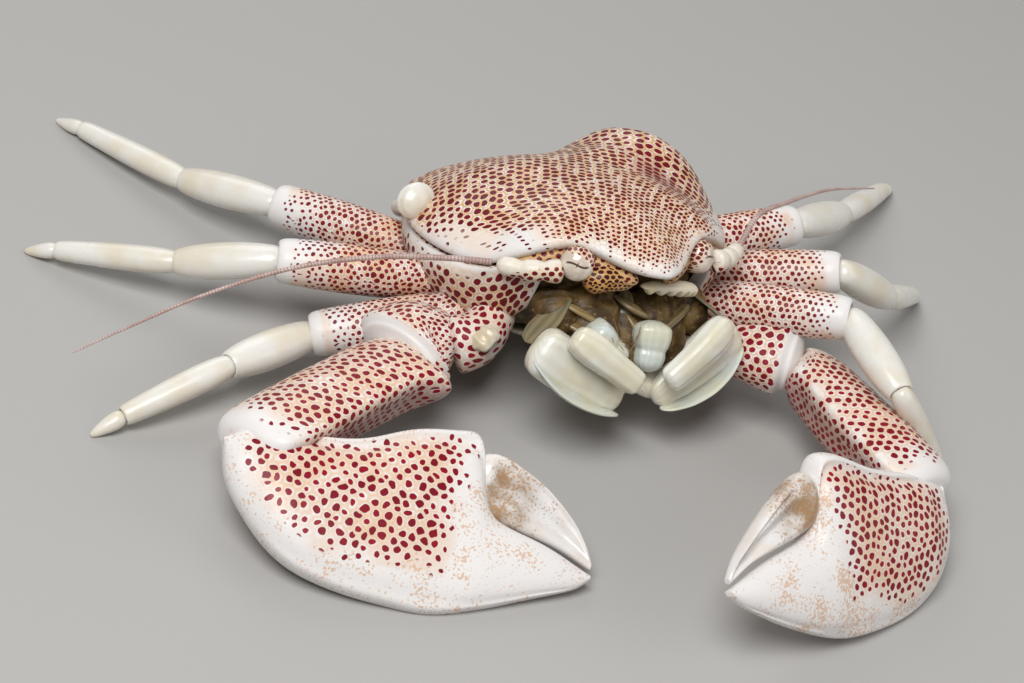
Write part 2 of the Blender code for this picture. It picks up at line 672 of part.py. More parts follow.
def make_arm(side, body):
    """One claw leg: ischium, merus, carpus, palm with its fixed finger, movable finger."""
    sign = SIDES[side]
    mirror = -sign
    joints = ARM_JOINTS[side]
    root = body["frame"] @ Vector((sign * ARM_ROOT[0], ARM_ROOT[1], ARM_ROOT[2]))
    pieces = {
        "ischium": tube_piece(f"arm_ischium_{side}", [root] + joints["ischium"],
                              (1.7, 2.1, 2.6, 2.9, 2.3), "spotted_shell", body["root"],
                              count=12, stations=9),
        "merus": tube_piece(f"arm_merus_{side}", joints["merus"], ARM_MERUS_RADII[side],
                            "spotted_shell", body["root"], count=14, stations=10,
                            flatten=0.74),
    }
    start, end = (Vector(p) for p in joints["carpus"])
    along = end - start
    frame = segment_frame(start, degrees(atan2(along.y, along.x)),
                          degrees(asin(along.z / along.length)), CARPUS_ROLL[side])
    pieces["carpus"] = segment_piece(f"arm_carpus_{side}", frame, along.length, CARPUS_SHAPE,
                                     "spotted_shell", body["root"], count=12, mirror=mirror,
                                     edge=0.12, edge_at=40, stations=10)
    heading, rise, roll, length = CLAW_POSE[side]
    frame = segment_frame(end, heading, rise, roll)
    thick = [(-0.08, 1.2), (-0.03, 3.2), (0.1, PALM_THICKNESS), (0.45, PALM_THICKNESS),
             (0.7, 3.8), (0.9, 2.2), (1.0, 0.6)]
    rings = claw_rings(length, PALM_OUTER[side], PALM_INNER[side], thick, -0.075, 1.0, 16, mirror)
    pieces["palm"] = add_piece(f"palm_{side}", loft(rings), "spotted_shell", frame,
                               body["root"])
    start = FINGER_OUTER[side][0][0]
    inner = [(start, -4.4), (start + 0.05, -2.2), (start + 0.12, -1.5), (0.88, -1.1), (1.0, -0.2)]
    thick = [(start, 1.2), (start + 0.05, 3.2), (0.8, 2.6), (0.93, 1.7), (1.0, 0.6)]
    rings = claw_rings(length, inner, FINGER_OUTER[side], thick, start, 0.995, 10, mirror, 10)
    pieces["finger"] = add_piece(f"finger_{side}", loft(rings), "white_shell", frame,
                                 body["root"])
    return pieces


def make_small_leg(side, body):
    """The tiny last leg, folded forwards along the side of the shell."""
    sign = SIDES[side]
    return tube_piece(f"leg_small_{side}", [(sign * x, y, z) for x, y, z in SMALL_LEG[side]],
                      (0.6, 0.75, 0.7, 0.75, 0.7, 0.75, 0.8, 0.95, 1.6, 1.7, 1.0), "mouthparts",
                      body["root"], count=8, stations=20, frame=body["frame"])


def centre_on_floor(floor):
    """Bring the middle of the animal's footprint over the origin."""
    bpy.context.view_layer.update()
    corners = [obj.matrix_world @ vert.co for obj in parts.objects if obj.type == "MESH"
               for vert in obj.data.vertices]
    for axis in (0, 1):
        values = [corner[axis] for corner in corners]
        floor.location[axis] = -(min(values) + max(values)) / 2


def part_body(side, pieces):
    """Open the body for what grows from it on one side, before the limbs are parted."""
    legs, arm, head = pieces["legs"], pieces["arm"], pieces["head"]
    carve(legs["front"]["merus"], [legs["middle"]["merus"], arm["ischium"], arm["merus"]])
    carve(legs["middle"]["merus"], [legs["rear"]["merus"]])
    roots = [legs[row]["merus"] for row in legs] + [arm["ischium"]]
    carve(pieces["wall"], [pieces["carapace"]] + roots
          + [arm["merus"], head["antenna"], pieces["thorax"]])
    carve(pieces["thorax"], roots + [head["eye"], head["antennule"],
                                     pieces["mouth"]["ischium"], pieces["small"]])
    carve(pieces["carapace"], [head["eye"], head["antenna"], pieces["small"]])


def part_limbs(pieces):
    """Part each limb at its joints, the nearer segment cut to hold the next one."""
    arm, head, mouth = pieces["arm"], pieces["head"], pieces["mouth"]
    carve(pieces["legs"]["front"]["carpus"], [arm["carpus"]])
    carve(pieces["legs"]["front"]["propodus"], [arm["carpus"]])
    carve(head["antennule"], [pieces["carapace"], head["eye"]])
    carve(head["antenna"], [head["eye"]])
    carve(pieces["small"], [pieces["legs"]["rear"]["merus"]])
    carve(mouth["ischium"], [mouth["merus"]])
    carve(mouth["merus"], [mouth["carpus"], mouth["palp"]])
    carve(mouth["carpus"], [mouth["palp"]])
    carve(arm["ischium"], [arm["merus"]])
    carve(arm["merus"], [arm["carpus"]])
    carve(arm["palm"], [arm["carpus"]])
    carve(arm["finger"], [arm["palm"]])
    rest_on_floor(arm["palm"])
    for leg in pieces["legs"].values():
        carve(leg["merus"], [leg["carpus"]])
        carve(leg["carpus"], [leg["propodus"]])
        carve(leg["propodus"], [leg["dactyl"]])
        rest_on_floor(leg["dactyl"])


def main():
    clear_scene()
    floor = bpy.data.objects.new("crab", None)
    parts.objects.link(floor)
    body = {"frame": body_pose(), "root": floor}
    carapace = make_carapace(body)
    thorax = make_thorax(body)
    tail = make_abdomen(body)
    carve(tail["abdomen"], [tail["tail_fan"]])
    carve(thorax, [tail["abdomen"], tail["tail_fan"], carapace])
    for side in SIDES:
        pieces = {"carapace": carapace, "thorax": thorax, "wall": make_wall(side, body),
                  "head": make_head(side, body), "arm": make_arm(side, body),
                  "mouth": make_mouthparts(side, body),
                  "legs": {row: make_leg(row, side, body) for row in LEG_ROOTS},
                  "small": make_small_leg(side, body)}
        part_body(side, pieces)
        part_limbs(pieces)
    centre_on_floor(floor)


main()
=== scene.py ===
"""Spotted porcelain crab, life size, resting on its leg tips and claws."""
from math import asin, atan2, copysign, cos, degrees, exp, hypot, pi, radians, sin

import bmesh
import bpy
from mathutils import Matrix, Vector


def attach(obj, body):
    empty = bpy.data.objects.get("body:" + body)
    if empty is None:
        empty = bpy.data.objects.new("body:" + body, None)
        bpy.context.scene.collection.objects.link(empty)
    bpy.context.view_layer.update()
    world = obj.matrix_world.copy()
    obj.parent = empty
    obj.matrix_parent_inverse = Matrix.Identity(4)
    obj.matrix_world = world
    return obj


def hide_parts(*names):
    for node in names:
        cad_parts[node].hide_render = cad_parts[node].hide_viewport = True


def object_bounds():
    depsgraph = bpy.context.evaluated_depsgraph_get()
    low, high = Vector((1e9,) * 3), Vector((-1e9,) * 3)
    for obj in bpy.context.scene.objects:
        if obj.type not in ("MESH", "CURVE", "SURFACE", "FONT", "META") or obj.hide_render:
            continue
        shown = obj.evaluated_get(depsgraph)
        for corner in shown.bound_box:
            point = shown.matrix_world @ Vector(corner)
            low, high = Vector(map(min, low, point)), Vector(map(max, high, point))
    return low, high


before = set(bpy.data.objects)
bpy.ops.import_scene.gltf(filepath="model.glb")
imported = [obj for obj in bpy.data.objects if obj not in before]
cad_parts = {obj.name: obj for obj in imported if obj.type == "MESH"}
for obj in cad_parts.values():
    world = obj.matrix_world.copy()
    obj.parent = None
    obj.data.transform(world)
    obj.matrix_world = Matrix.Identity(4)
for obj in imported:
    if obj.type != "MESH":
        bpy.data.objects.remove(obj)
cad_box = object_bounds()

# Stance. The body tips back with its nose up and its left side a little low. Everything on the
# body is measured in millimetres from the middle of the shell: x to the left, y back, z up.
MM = 0.001
CENTRED = Matrix.Translation((-1.038, 2.753, 0))
BODY = (CENTRED @ Matrix.Translation((0, 0, 11.8)) @ Matrix.Rotation(radians(-20), 4, "X")
        @ Matrix.Rotation(radians(5), 4, "Y"))
SIDES = {"right": -1, "left": 1}


# Carapace. The upper shell is one domed plate of limy horn, with a thin rolled margin and a
# swelling over the left gill. It lies on the body like a lid, held along the back edge.
MARGIN = [           # half outline from the tip of the front round to the tail
    (0, -16.8, 0.3), (1.7, -15.8, 0.4), (3.4, -14.2, 0.9), (5.0, -12.7, 1.6),
    (6.4, -11.8, 2.0), (7.8, -11.2, 1.9), (9.4, -10.2, 1.3), (10.9, -8.9, 0.5),
    (12.1, -7.2, -0.4), (13.2, -5.4, -0.7), (14.2, -3.0, -0.6), (14.6, 0.0, -0.4),
    (14.4, 3.0, -0.2), (13.4, 6.2, 0.0), (11.9, 9.3, 0.2), (9.6, 12.1, 0.4),
    (6.4, 14.0, 0.5), (3.2, 14.3, 0.5), (0, 13.9, 0.5),
]
DOME_CENTRE = Vector((0, 0.5, 0))
DOME_HEIGHT = 5.5
RIM = 0.9            # thickness of the rolled margin
SWELLING = (10.3, 5.4)
SWELLING_HEIGHT = 3.5
FURROW = (6.2, 2.6)
FURROW_DEPTH = 0.9
FURROW_TURN = radians(28)


def spline(points, count):
    """Points read evenly from a smooth curve through the given points."""
    pts = [Vector(p) for p in points]
    pts = [2 * pts[0] - pts[1]] + pts + [2 * pts[-1] - pts[-2]]
    spans = len(pts) - 3
    out = []
    for i in range(count):
        t = spans * i / (count - 1)
        k = min(int(t), spans - 1)
        t -= k
        p0, p1, p2, p3 = pts[k:k + 4]
        out.append(0.5 * (2 * p1 + (p2 - p0) * t + (2 * p0 - 5 * p1 + 4 * p2 - p3) * t ** 2
                          + (3 * p1 - p0 - 3 * p2 + p3) * t ** 3))
    return out


def level_at(table, x):
    """Height over x on the straight lines between the table's (x, height) pairs."""
    for (x0, y0), (x1, y1) in zip(table, table[1:]):
        if x <= x1:
            return y0 + (y1 - y0) * max(0.0, (x - x0) / (x1 - x0))
    return table[-1][1]


def bump(offset, width):
    """A soft hill, one high at its middle."""
    return exp(-(offset / width) ** 2)


def middle_of(ring):
    """The middle of a section."""
    return sum(ring, Vector()) / len(ring)


def mirrored(points, sign):
    """Points of the left side, or the same ones on the right side where sign is -1."""
    return [(sign * x, y, z) for x, y, z in points]


def draw_out(name, rings, place=BODY, skin=None, rounds=2, paint=None):
    """Draw a shape out of a circle, section by section, close its ends and round it off.

    skin gives the place of a section's corner on the unrolled surface, in millimetres, and
    paint gives the strengths of its pigments there, from 0 to 1.
    """
    bpy.ops.mesh.primitive_circle_add(vertices=len(rings[0]), radius=0.002)
    piece = bpy.context.active_object
    piece.name = name
    mesh = piece.data
    mesh.name = name
    bpy.ops.object.mode_set(mode="EDIT")
    bm = bmesh.from_edit_mesh(mesh)
    turn = bm.verts.layers.int.new("turn")
    step = bm.verts.layers.int.new("step")
    for i, vert in enumerate(bm.verts):
        vert[turn] = i
    for k, ring in enumerate(rings):
        if k:
            bpy.ops.mesh.extrude_region_move()
            bm = bmesh.from_edit_mesh(mesh)
            turn = bm.verts.layers.int["turn"]
            step = bm.verts.layers.int["step"]
        for vert in bm.verts:
            if vert.select:
                vert[step] = k
                vert.co = ring[vert[turn]]
        bmesh.update_edit_mesh(mesh)
    bpy.ops.mesh.edge_face_add()
    bpy.ops.mesh.select_all(action="DESELECT")
    bm = bmesh.from_edit_mesh(mesh)
    step = bm.verts.layers.int["step"]
    for vert in bm.verts:
        vert.select = vert[step] == 0
    bm.select_flush_mode()
    bmesh.update_edit_mesh(mesh)
    bpy.ops.mesh.edge_face_add()
    bpy.ops.mesh.select_all(action="SELECT")
    bpy.ops.mesh.normals_make_consistent(inside=False)
    bpy.ops.object.mode_set(mode="OBJECT")
    turns, steps = ([item.value for item in mesh.attributes[layer].data] for layer in ("turn", "step"))
    unroll(mesh, rings, skin, turns, steps)
    if paint:
        rows = [paint(k, i, rings[k][i]) for k, i in zip(steps, turns)]
        for pigment in rows[0]:
            kept = mesh.attributes.new(pigment, "FLOAT", "POINT")
            kept.data.foreach_set("value", [row[pigment] for row in rows])
    for layer in ("turn", "step"):
        mesh.attributes.remove(mesh.attributes[layer])
    if rounds:
        smoother = piece.modifiers.new("smoother", "SUBSURF")
        smoother.levels = rounds
        smoother.render_levels = rounds
        bpy.ops.object.modifier_apply(modifier=smoother.name)
    mesh.transform(Matrix.Scale(MM, 4) @ place)
    bpy.ops.object.shade_smooth()
    return piece


def unroll(mesh, rings, skin, turns, steps):
    """Lay the surface out flat in millimetres: length across, girth upwards."""
    count = len(rings[0])
    middles = [middle_of(ring) for ring in rings]
    lengths = [0.0]
    for a, b in zip(middles, middles[1:]):
        lengths.append(lengths[-1] + (b - a).length)
    girths = sorted(sum((ring[i] - ring[i - 1]).length for i in range(count)) for ring in rings)
    girth = girths[len(girths) * 2 // 3]
    flat = mesh.uv_layers.new(name="skin")
    for face in mesh.polygons:
        corners = [mesh.loops[loop].vertex_index for loop in face.loop_indices]
        wraps = {0, count - 1} <= {turns[vert] for vert in corners}
        for loop, vert in zip(face.loop_indices, corners):
            k, i = steps[vert], turns[vert]
            if wraps and i < count / 2:
                i += count
            flat.data[loop].uv = skin(k, i) if skin else (lengths[k], girth * i / count)


def put_on(piece, finish, solid):
    """Give a piece its finish and fix it to the crab, in the place of the plain solid."""
    piece.data.materials.append(finish)
    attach(piece, "root")
    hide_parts(solid)


def set_down(piece):
    """Press the piece flat where it would reach below the floor or past the crab's own reach."""
    for vert in piece.data.vertices:
        for axis in (0, 1):
            vert.co[axis] = min(max(vert.co[axis], cad_box[0][axis]), cad_box[1][axis])
        vert.co.z = max(vert.co.z, 0.0)


def new_finish(name):
    """A new material and its tree of nodes."""
    material = bpy.data.materials.new(name)
    material.use_nodes = True
    return material, material.node_tree


def node(tree, kind, inputs, **settings):
    """Add a shader node, set or link its inputs, and give back its outputs."""
    made = tree.nodes.new("ShaderNode" + kind)
    for key, value in settings.items():
        setattr(made, key, value)
    for key, value in inputs.items():
        if isinstance(value, bpy.types.NodeSocket):
            tree.links.new(value, made.inputs[key])
        else:
            made.inputs[key].default_value = value
    return made.outputs


def on_body(tree):
    """The place on the whole crab, in metres."""
    return node(tree, "TexCoord", {})["Object"]


def on_skin(tree):
    """The place on the piece's unrolled surface, in millimetres."""
    return node(tree, "UVMap", {}, uv_map="skin")["UV"]


def painted(tree, pigment):
    """The strength of a pigment kept on the piece's corners."""
    return node(tree, "Attribute", {}, attribute_name=pigment)["Fac"]


def noise(tree, place, scale, detail, **settings):
    """Soft random patches, from 0 to 1."""
    return node(tree, "TexNoise", {"Vector": place, "Scale": scale, "Detail": detail}, **settings)[0]


def calc(tree, operation, a, b=0.0, c=0.0):
    """One sum on numbers that change over the surface."""
    return node(tree, "Math", {0: a, 1: b, 2: c}, operation=operation)[0]


def times(tree, a, b):
    """One number times another."""
    return calc(tree, "MULTIPLY", a, b)


def linear(tree, value, rise, start):
    """The start, plus the rise times the value."""
    return calc(tree, "MULTIPLY_ADD", value, rise, start)


def vector(tree, operation, a, b):
    """One sum on places."""
    return node(tree, "VectorMath", {0: a, "Scale" if operation == "SCALE" else 1: b},
                operation=operation)[0]


def fade(tree, value, low, high):
    """From 0 where the value is low to 1 where it is high, softly."""
    return node(tree, "MapRange", {"Value": value, "From Min": low, "From Max": high},
                interpolation_type="SMOOTHSTEP")[0]


def tint(tree, share, under, over):
    """The colour under, covered by the colour over as far as the share says."""
    return node(tree, "Mix", {0: share, 6: under, 7: over}, data_type="RGBA")[2]


def effect(name, inputs, outputs):
    """Start a group of nodes that several finishes share."""
    tree = bpy.data.node_groups.new(name, "ShaderNodeTree")
    for title, value in inputs.items():
        kind = "NodeSocketVector" if isinstance(value, tuple) else "NodeSocketFloat"
        tree.interface.new_socket(name=title, in_out="INPUT", socket_type=kind).default_value = value
    for title in outputs:
        tree.interface.new_socket(name=title, in_out="OUTPUT", socket_type="NodeSocketFloat")
    return tree, tree.nodes.new("NodeGroupInput").outputs, tree.nodes.new("NodeGroupOutput").inputs


def laid(tree, group, inputs):
    """Lay a shared effect into a finish, with its own values."""
    return node(tree, "Group", inputs, node_tree=group)


# Spots lie in loose rows, each row half a step on from the last, and the orange net runs along
# the lines where two spots are equally far away.
spots, given, out = effect("spots", {"Place": (0.0, 0.0, 0.0), "Spacing": 1.0, "Reach": 0.36,
                                     "Gap": 0.1, "Strength": 1.0, "Wander": 0.3,
                                     "Thread": 0.15}, ["Spot", "Net", "Cell"])
ROW_STEP = 3 ** 0.5  # rows are closer than the spots in them, so that every gap is alike
sway = node(spots, "TexNoise", {"Vector": given["Place"], "Scale": 0.6, "Detail": 1.0},
            noise_dimensions="2D")
shift = vector(spots, "SUBTRACT", sway["Color"], (0.5, 0.5, 0.5))
shift = vector(spots, "SCALE", shift, given["Wander"])
place = vector(spots, "ADD", given["Place"], shift)
place = vector(spots, "SCALE", place, calc(spots, "DIVIDE", 1.0, given["Spacing"]))
place = vector(spots, "MULTIPLY", place, (1.0, 1 / ROW_STEP, 0.0))
found = []
for offset in ((0.0, 0.0, 0.0), (0.5, 0.5, 0.0)):
    row = vector(spots, "ADD", place, offset)
    for rank in ("F1", "F2"):
        cells = node(spots, "TexVoronoi", {"Vector": row, "Scale": 1.0, "Randomness": 0.30},
                     voronoi_dimensions="2D", feature=rank)
        away = vector(spots, "SUBTRACT", row, cells["Position"])
        away = vector(spots, "MULTIPLY", away, (1.0, ROW_STEP, 0.0))
        away = node(spots, "VectorMath", {0: away}, operation="LENGTH")["Value"]
        found.append((away, node(spots, "SeparateColor", {"Color": cells["Color"]})["Red"]))
near = calc(spots, "MINIMUM", found[0][0], found[2][0])
second = calc(spots, "MAXIMUM", found[0][0], found[2][0])
second = calc(spots, "MINIMUM", second, calc(spots, "MINIMUM", found[1][0], found[3][0]))
border = times(spots, calc(spots, "SUBTRACT", second, near), 0.5)
other = calc(spots, "LESS_THAN", found[2][0], found[0][0])
cell = node(spots, "Mix", {0: other, 2: found[0][1], 3: found[2][1]}, data_type="FLOAT")[0]
rough = noise(spots, given["Place"], 3.2, 2.0, noise_dimensions="2D")
rough = calc(spots, "SUBTRACT", rough, 0.5)
reach = linear(spots, cell, 0.4, 0.8)
grown = linear(spots, given["Strength"], 0.55, 0.45)
reach = times(spots, times(spots, reach, given["Reach"]), grown)
inside = calc(spots, "MINIMUM", calc(spots, "SUBTRACT", reach, near),
              calc(spots, "SUBTRACT", border, given["Gap"]))
inside = linear(spots, rough, 0.12, inside)
few = linear(spots, calc(spots, "SUBTRACT", cell, 1.0), 0.62, given["Strength"])
shown = fade(spots, few, 0.0, 0.12)
spots.links.new(times(spots, fade(spots, inside, -0.012, 0.03), shown), out["Spot"])
thread = linear(spots, rough, 0.3, border)
spots.links.new(fade(spots, thread, given["Thread"], -0.01), out["Net"])
spots.links.new(cell, out["Cell"])

# Stipple is the fine orange and tan dust of pigment on the white parts of the shell.
stipple, given, out = effect("stipple", {"Place": (0.0, 0.0, 0.0), "Cover": 0.5}, ["Dust", "Bloom"])
fine = noise(stipple, given["Place"], 4300.0, 3.0)
broad = noise(stipple, given["Place"], 330.0, 2.0)
mixed = calc(stipple, "ADD", times(stipple, fine, 0.75), times(stipple, broad, 0.45))
level = linear(stipple, given["Cover"], -0.28, 0.82)
stipple.links.new(fade(stipple, calc(stipple, "SUBTRACT", mixed, level), 0.0, 0.06), out["Dust"])
stipple.links.new(fade(stipple, broad, 0.38, 0.62), out["Bloom"])

# Grain is the low relief of the shell: faint swells and fine pores.
grain, given, out = effect("grain", {"Place": (0.0, 0.0, 0.0), "Coarse": 1.0, "Fine": 1.0}, ["Height"])
swells = noise(grain, given["Place"], 700.0, 3.0)
pores = node(grain, "TexVoronoi", {"Vector": given["Place"], "Scale": 5200.0})["Distance"]
height = times(grain, swells, given["Coarse"])
pores = times(grain, fade(grain, pores, 0.0, 0.4), given["Fine"])
grain.links.new(linear(grain, pores, 0.12, height), out["Height"])


def finish_shader(material, colour, roughness, height, bump_depth=0.00006, coat=0.25, glow=0.12,
                  shine=0.5):
    """Glossy wet shell over the given colour, roughness and relief."""
    tree = material.node_tree
    shader = tree.nodes["Principled BSDF"]
    normal = node(tree, "Bump", {"Height": height, "Strength": 0.6, "Distance": bump_depth})["Normal"]
    tree.links.new(colour, shader.inputs["Base Color"])
    tree.links.new(roughness, shader.inputs["Roughness"])
    tree.links.new(normal, shader.inputs["Normal"])
    for key, value in (("Coat Weight", coat), ("Coat Roughness", 0.12), ("Specular IOR Level", shine),
                       ("Subsurface Weight", glow), ("Subsurface Radius", (1.0, 0.72, 0.55)),
                       ("Subsurface Scale", 0.0007)):
        shader.inputs[key].default_value = value
    return material


def spotted(name, spacing, reach, gap, ground, spot, net, wander=0.3, net_share=0.8, thread=0.15,
            light=(0.76, 0.73, 0.71, 1)):
    """Spotted shell: dark red spots with pale rims, an orange net between them, and painted shade where
    the dark pigment is laid.
    """
    material, tree = new_finish(name)
    skin = on_skin(tree)
    body = on_body(tree)
    strength = painted(tree, "spots")
    netted = painted(tree, "net")
    stained = painted(tree, "stain")
    field = laid(tree, spots, {"Place": skin, "Spacing": spacing, "Reach": reach, "Gap": gap,
                               "Strength": strength, "Wander": wander, "Thread": thread})
    dark = painted(tree, "dark")
    dust = laid(tree, stipple, {"Place": body, "Cover": stained})
    relief = laid(tree, grain, {"Place": body})["Height"]
    broad = noise(tree, body, 260.0, 2.0)
    pale = tint(tree, fade(tree, broad, 0.35, 0.6), ground, light)
    pale = tint(tree, fade(tree, strength, 0.3, 0.0), pale, light)
    lines = times(tree, field["Net"], netted)
    pale = tint(tree, times(tree, lines, net_share), pale, net)
    dusty = times(tree, dust["Dust"], fade(tree, stained, 0.02, 0.35))
    pale = tint(tree, times(tree, dusty, 0.6), pale, (0.58, 0.29, 0.11, 1))
    # Painted shade: where the dark pigment is laid, the pale ground turns a deep purplish brown,
    # standing in for the shade in the furrow and under the carpus's edge.
    pale = tint(tree, times(tree, dark, 0.75), pale, (0.22, 0.09, 0.11, 1))
    deep = tint(tree, field["Cell"], (*spot, 1), (spot[0] * 0.62, spot[1] * 0.7, spot[2] * 0.8, 1))
    colour = tint(tree, field["Spot"], pale, deep)
    roughness = linear(tree, relief, 0.22, 0.24)
    height = linear(tree, field["Spot"], -0.12, relief)
    return finish_shader(material, colour, roughness, height, coat=0.08, glow=0.03, shine=0.22)


def ramp(value, low, high):
    """From 0 where the value is low to 1 where it is high."""
    t = min(1.0, max(0.0, (value - low) / (high - low)))
    return t * t * (3 - 2 * t)


def pushed_out(p, share=1.0):
    """The swelling also pushes the shell's left side outwards."""
    off = 1.9 * bump(p.x - 13.6, 4.2) * bump(p.y - 4.0, 7.5) * share
    return Vector((p.x + off, p.y, p.z))


def dome_height(x, y, reach):
    """Height of the shell over its margin, with the left swelling and its furrow."""
    height = DOME_HEIGHT * (1 - reach ** 2.6) ** 0.8 * (1 - 0.03 * max(0.0, y - 2))
    far = ((x - SWELLING[0]) / 6.3) ** 2 + ((y - SWELLING[1]) / 6.6) ** 2
    height += SWELLING_HEIGHT * exp(-far ** 1.6) * (1 - reach ** 10)
    off_x, off_y = x - FURROW[0], y - FURROW[1]
    across = off_x * cos(FURROW_TURN) + off_y * sin(FURROW_TURN)
    along = -off_x * sin(FURROW_TURN) + off_y * cos(FURROW_TURN)
    height -= FURROW_DEPTH * bump(across, 1.5) * bump(along, 6.0) * (1 - reach ** 4)
    neck = y + 3.2 - 0.045 * x * x
    height -= 0.14 * bump(neck, 0.9) * ramp(abs(x), 2.0, 5.0) * (1 - reach ** 6)
    height -= 0.1 * bump(x, 0.8) * ramp(-y, 7.0, 11.0) * (1 - reach ** 6)
    return height + 0.08 * bump(reach - 0.985, 0.012)


def inwards(p, reach, height):
    """A point of the margin drawn in to a share of its reach, and set at its height."""
    x = DOME_CENTRE.x + (p.x - DOME_CENTRE.x) * reach
    y = DOME_CENTRE.y + (p.y - DOME_CENTRE.y) * reach
    return Vector((x, y, p.z * reach ** 3 + height(x, y, reach)))


half = spline(MARGIN, 49)
margin = half + [Vector((-p.x, p.y, p.z)) for p in reversed(half[1:-1])]
reaches = (0.04, 0.12, 0.2, 0.28, 0.36, 0.44, 0.52, 0.6, 0.67, 0.74, 0.8, 0.85, 0.895, 0.93,
           0.955, 0.975, 0.99, 1.0)
rings = []
for reach in reaches:
    rings.append([pushed_out(inwards(p, reach, dome_height), reach) for p in margin])
for reach, drop in ((1.0, 0.35), (0.985, 0.8), (0.93, 1.0), (0.7, 1.0), (0.4, 1.0), (0.1, 1.0)):
    rings.append([pushed_out(inwards(p, reach, lambda x, y, reach: -drop * (
        RIM - 0.3 * ramp(-p.y, 9.0, 12.0)))) for p in margin])
shell = rings


def dome_skin(k, i):
    """Place on the dome's unrolled skin, the cells small in front and wide on the swelling."""
    i %= len(margin)
    flat = shell[k][i] - DOME_CENTRE
    flat.z = 0
    away = reaches[0] * hypot(margin[i].x, margin[i].y - DOME_CENTRE.y)
    away += sum((shell[j + 1][i] - shell[j][i]).length for j in range(k))
    spot = flat.normalized() * away
    front = max(0.0, -5.0 - spot.y)
    spot = Vector((spot.x * (1 + 0.085 * front), spot.y - 0.042 * front * front, 0))
    off = spot - Vector((11.4, 6.4, 0))
    spot -= off * 0.42 * exp(-(off.length / 7.2) ** 2)
    return spot.x, spot.y


def dome_paint(k, i, p):
    """Spots fade before the white rim, and are few on the white band over each antenna; the furrow is
    darkened with painted shade.
    """
    reach = reaches[k] if k < len(reaches) else 1.0
    inland = (1 - reach) * hypot(margin[i].x, margin[i].y - DOME_CENTRE.y)
    front = ramp(-p.y, 9.0, 12.0) * ramp(abs(p.x), 7.0, 5.0)
    rim = -0.2 - 0.25 * front
    strength = ramp(inland, rim, rim + 0.5 + 1.1 * front)
    band = ramp(-p.y, -1.0, 3.0) * ramp(abs(p.x), 7.2, 9.2) * ramp(inland, 2.0, 1.0)
    strength *= 1 - 0.66 * band
    hill = bump(p.x - 10.4, 5.2) * bump(p.y - 6.2, 5.4)
    # The furrow mask also lays painted shade in the furrow's hollow, through the dark pigment.
    furrow = bump(p.x - 7.2, 2.1) * bump(p.y + 3.2, 4.0) * ramp(p.x, 3.5, 6.0)
    return {"spots": strength * (1 - 0.2 * front + 0.2 * furrow - 0.28 * hill),
            "net": strength * (1 - 0.75 * band),
            "stain": 0.1 * (1 - band) + 0.9 * bump(p.x - 6.3, 1.0) * bump(p.y + 11.7, 1.0),
            "dark": 0.75 * furrow}


dome_shell = spotted("dome_shell", 0.90, 0.365, 0.09, (0.76, 0.66, 0.58, 1), (0.20, 0.003, 0.010),
                     (0.62, 0.34, 0.10, 1), net_share=0.95, thread=0.19)
carapace = draw_out("carapace_shell", rings, skin=dome_skin, rounds=1, paint=dome_paint)
put_on(carapace, dome_shell, "carapace")


# Side walls. Below the margin the shell turns in as a thin spotted wall down to the leg roots.
# Each wall is a bent sheet of the same shell, held along its top edge under the margin.
WALL = 1.0


def outward(point):
    """The level direction from the middle of the shell to a point of its margin."""
    return Vector((point.x - DOME_CENTRE.x, point.y - DOME_CENTRE.y, 0)).normalized()


wall_shell = spotted("wall_shell", 0.98, 0.38, 0.08, (0.74, 0.62, 0.50, 1), (0.21, 0.004, 0.010),
                     (0.66, 0.36, 0.12, 1))
for side, sign in SIDES.items():
    line = spline(MARGIN, 73)[20:57]
    rings = []
    for k, p in enumerate(line):
        out = outward(p)
        share = k / (len(line) - 1)
        depth = 6.9 - 2.0 * max(0.0, share - 0.5)
        tuck = 2.3 + 0.6 * share
        lean = Vector((sign * 2.0, 0.9, 0)) * max(0.0, 1 - share * 4)
        lip = 0.98 + 0.6 * ramp(k, 7, 2)
        section = [(-0.3, -lip), (-0.05, -2.4), (-0.4, -3.5), (-0.75, -4.5), (-1.5, -5.9),
                   (-tuck, -depth), (-tuck - 0.8 * WALL, -depth + 0.5), (-2.6, -5.2),
                   (-0.9 - WALL, -4.2), (-0.3 - WALL, -2.6), (-0.45 - WALL, -0.2 - lip), (-0.9, -lip)]
        rings.append([pushed_out(Vector((sign * (p.x + out.x * a), p.y + out.y * a, p.z + b))
                                 + lean * (-b / depth), 1 + 0.5 * b / depth) for a, b in section])
    wall = draw_out(f"gill_wall_{side}", rings, paint=lambda k, i, p: {
        "spots": ramp(k, 0.5, 2.5) * ramp(i, 0.0, 0.3 + 1.3 * ramp(k, 5, 12)),
        "net": ramp(k, 0.5, 3.0) * ramp(i, 0.0, 1.6), "stain": 0.15})
    put_on(wall, wall_shell, f"side_wall_{side}")


# Body inside the walls, soft olive-brown flesh closed below by the flat sternum.
# It fills the room between the two walls and carries the legs, the mouth and the tail.
rings = []
for level, inset, front in ((-1.25, 9.0, -8.0), (-1.25, 5.0, -10.2), (-1.25, 2.4, -10.6),
                            (-3.4, 2.1, -9.4), (-5.4, 2.8, -8.9),
                            (-7.0, 4.8, -9.0), (-8.0, 6.8, -8.6), (-8.0, 9.0, -7.0)):
    ring = []
    for p in margin[::2]:
        out = outward(p)
        x, y = p.x - out.x * inset, p.y - out.y * inset
        lift = max(0.0, y - 4.0) * 0.16
        y = max(y, front) + 0.9 * bump(x, 4.0) * bump(level + 3.6, 1.6) * (y < front)
        ring.append(Vector((x, y, min(p.z, 0) * 0.4 + level + lift * (level < -4))))
    rings.append(ring)
flesh, tree = new_finish("olive_flesh")
body = on_body(tree)
folds = node(tree, "TexNoise", {"Vector": body, "Scale": 420.0, "Detail": 4.0, "Distortion": 1.2})[0]
dots = noise(tree, body, 2400.0, 2.0)
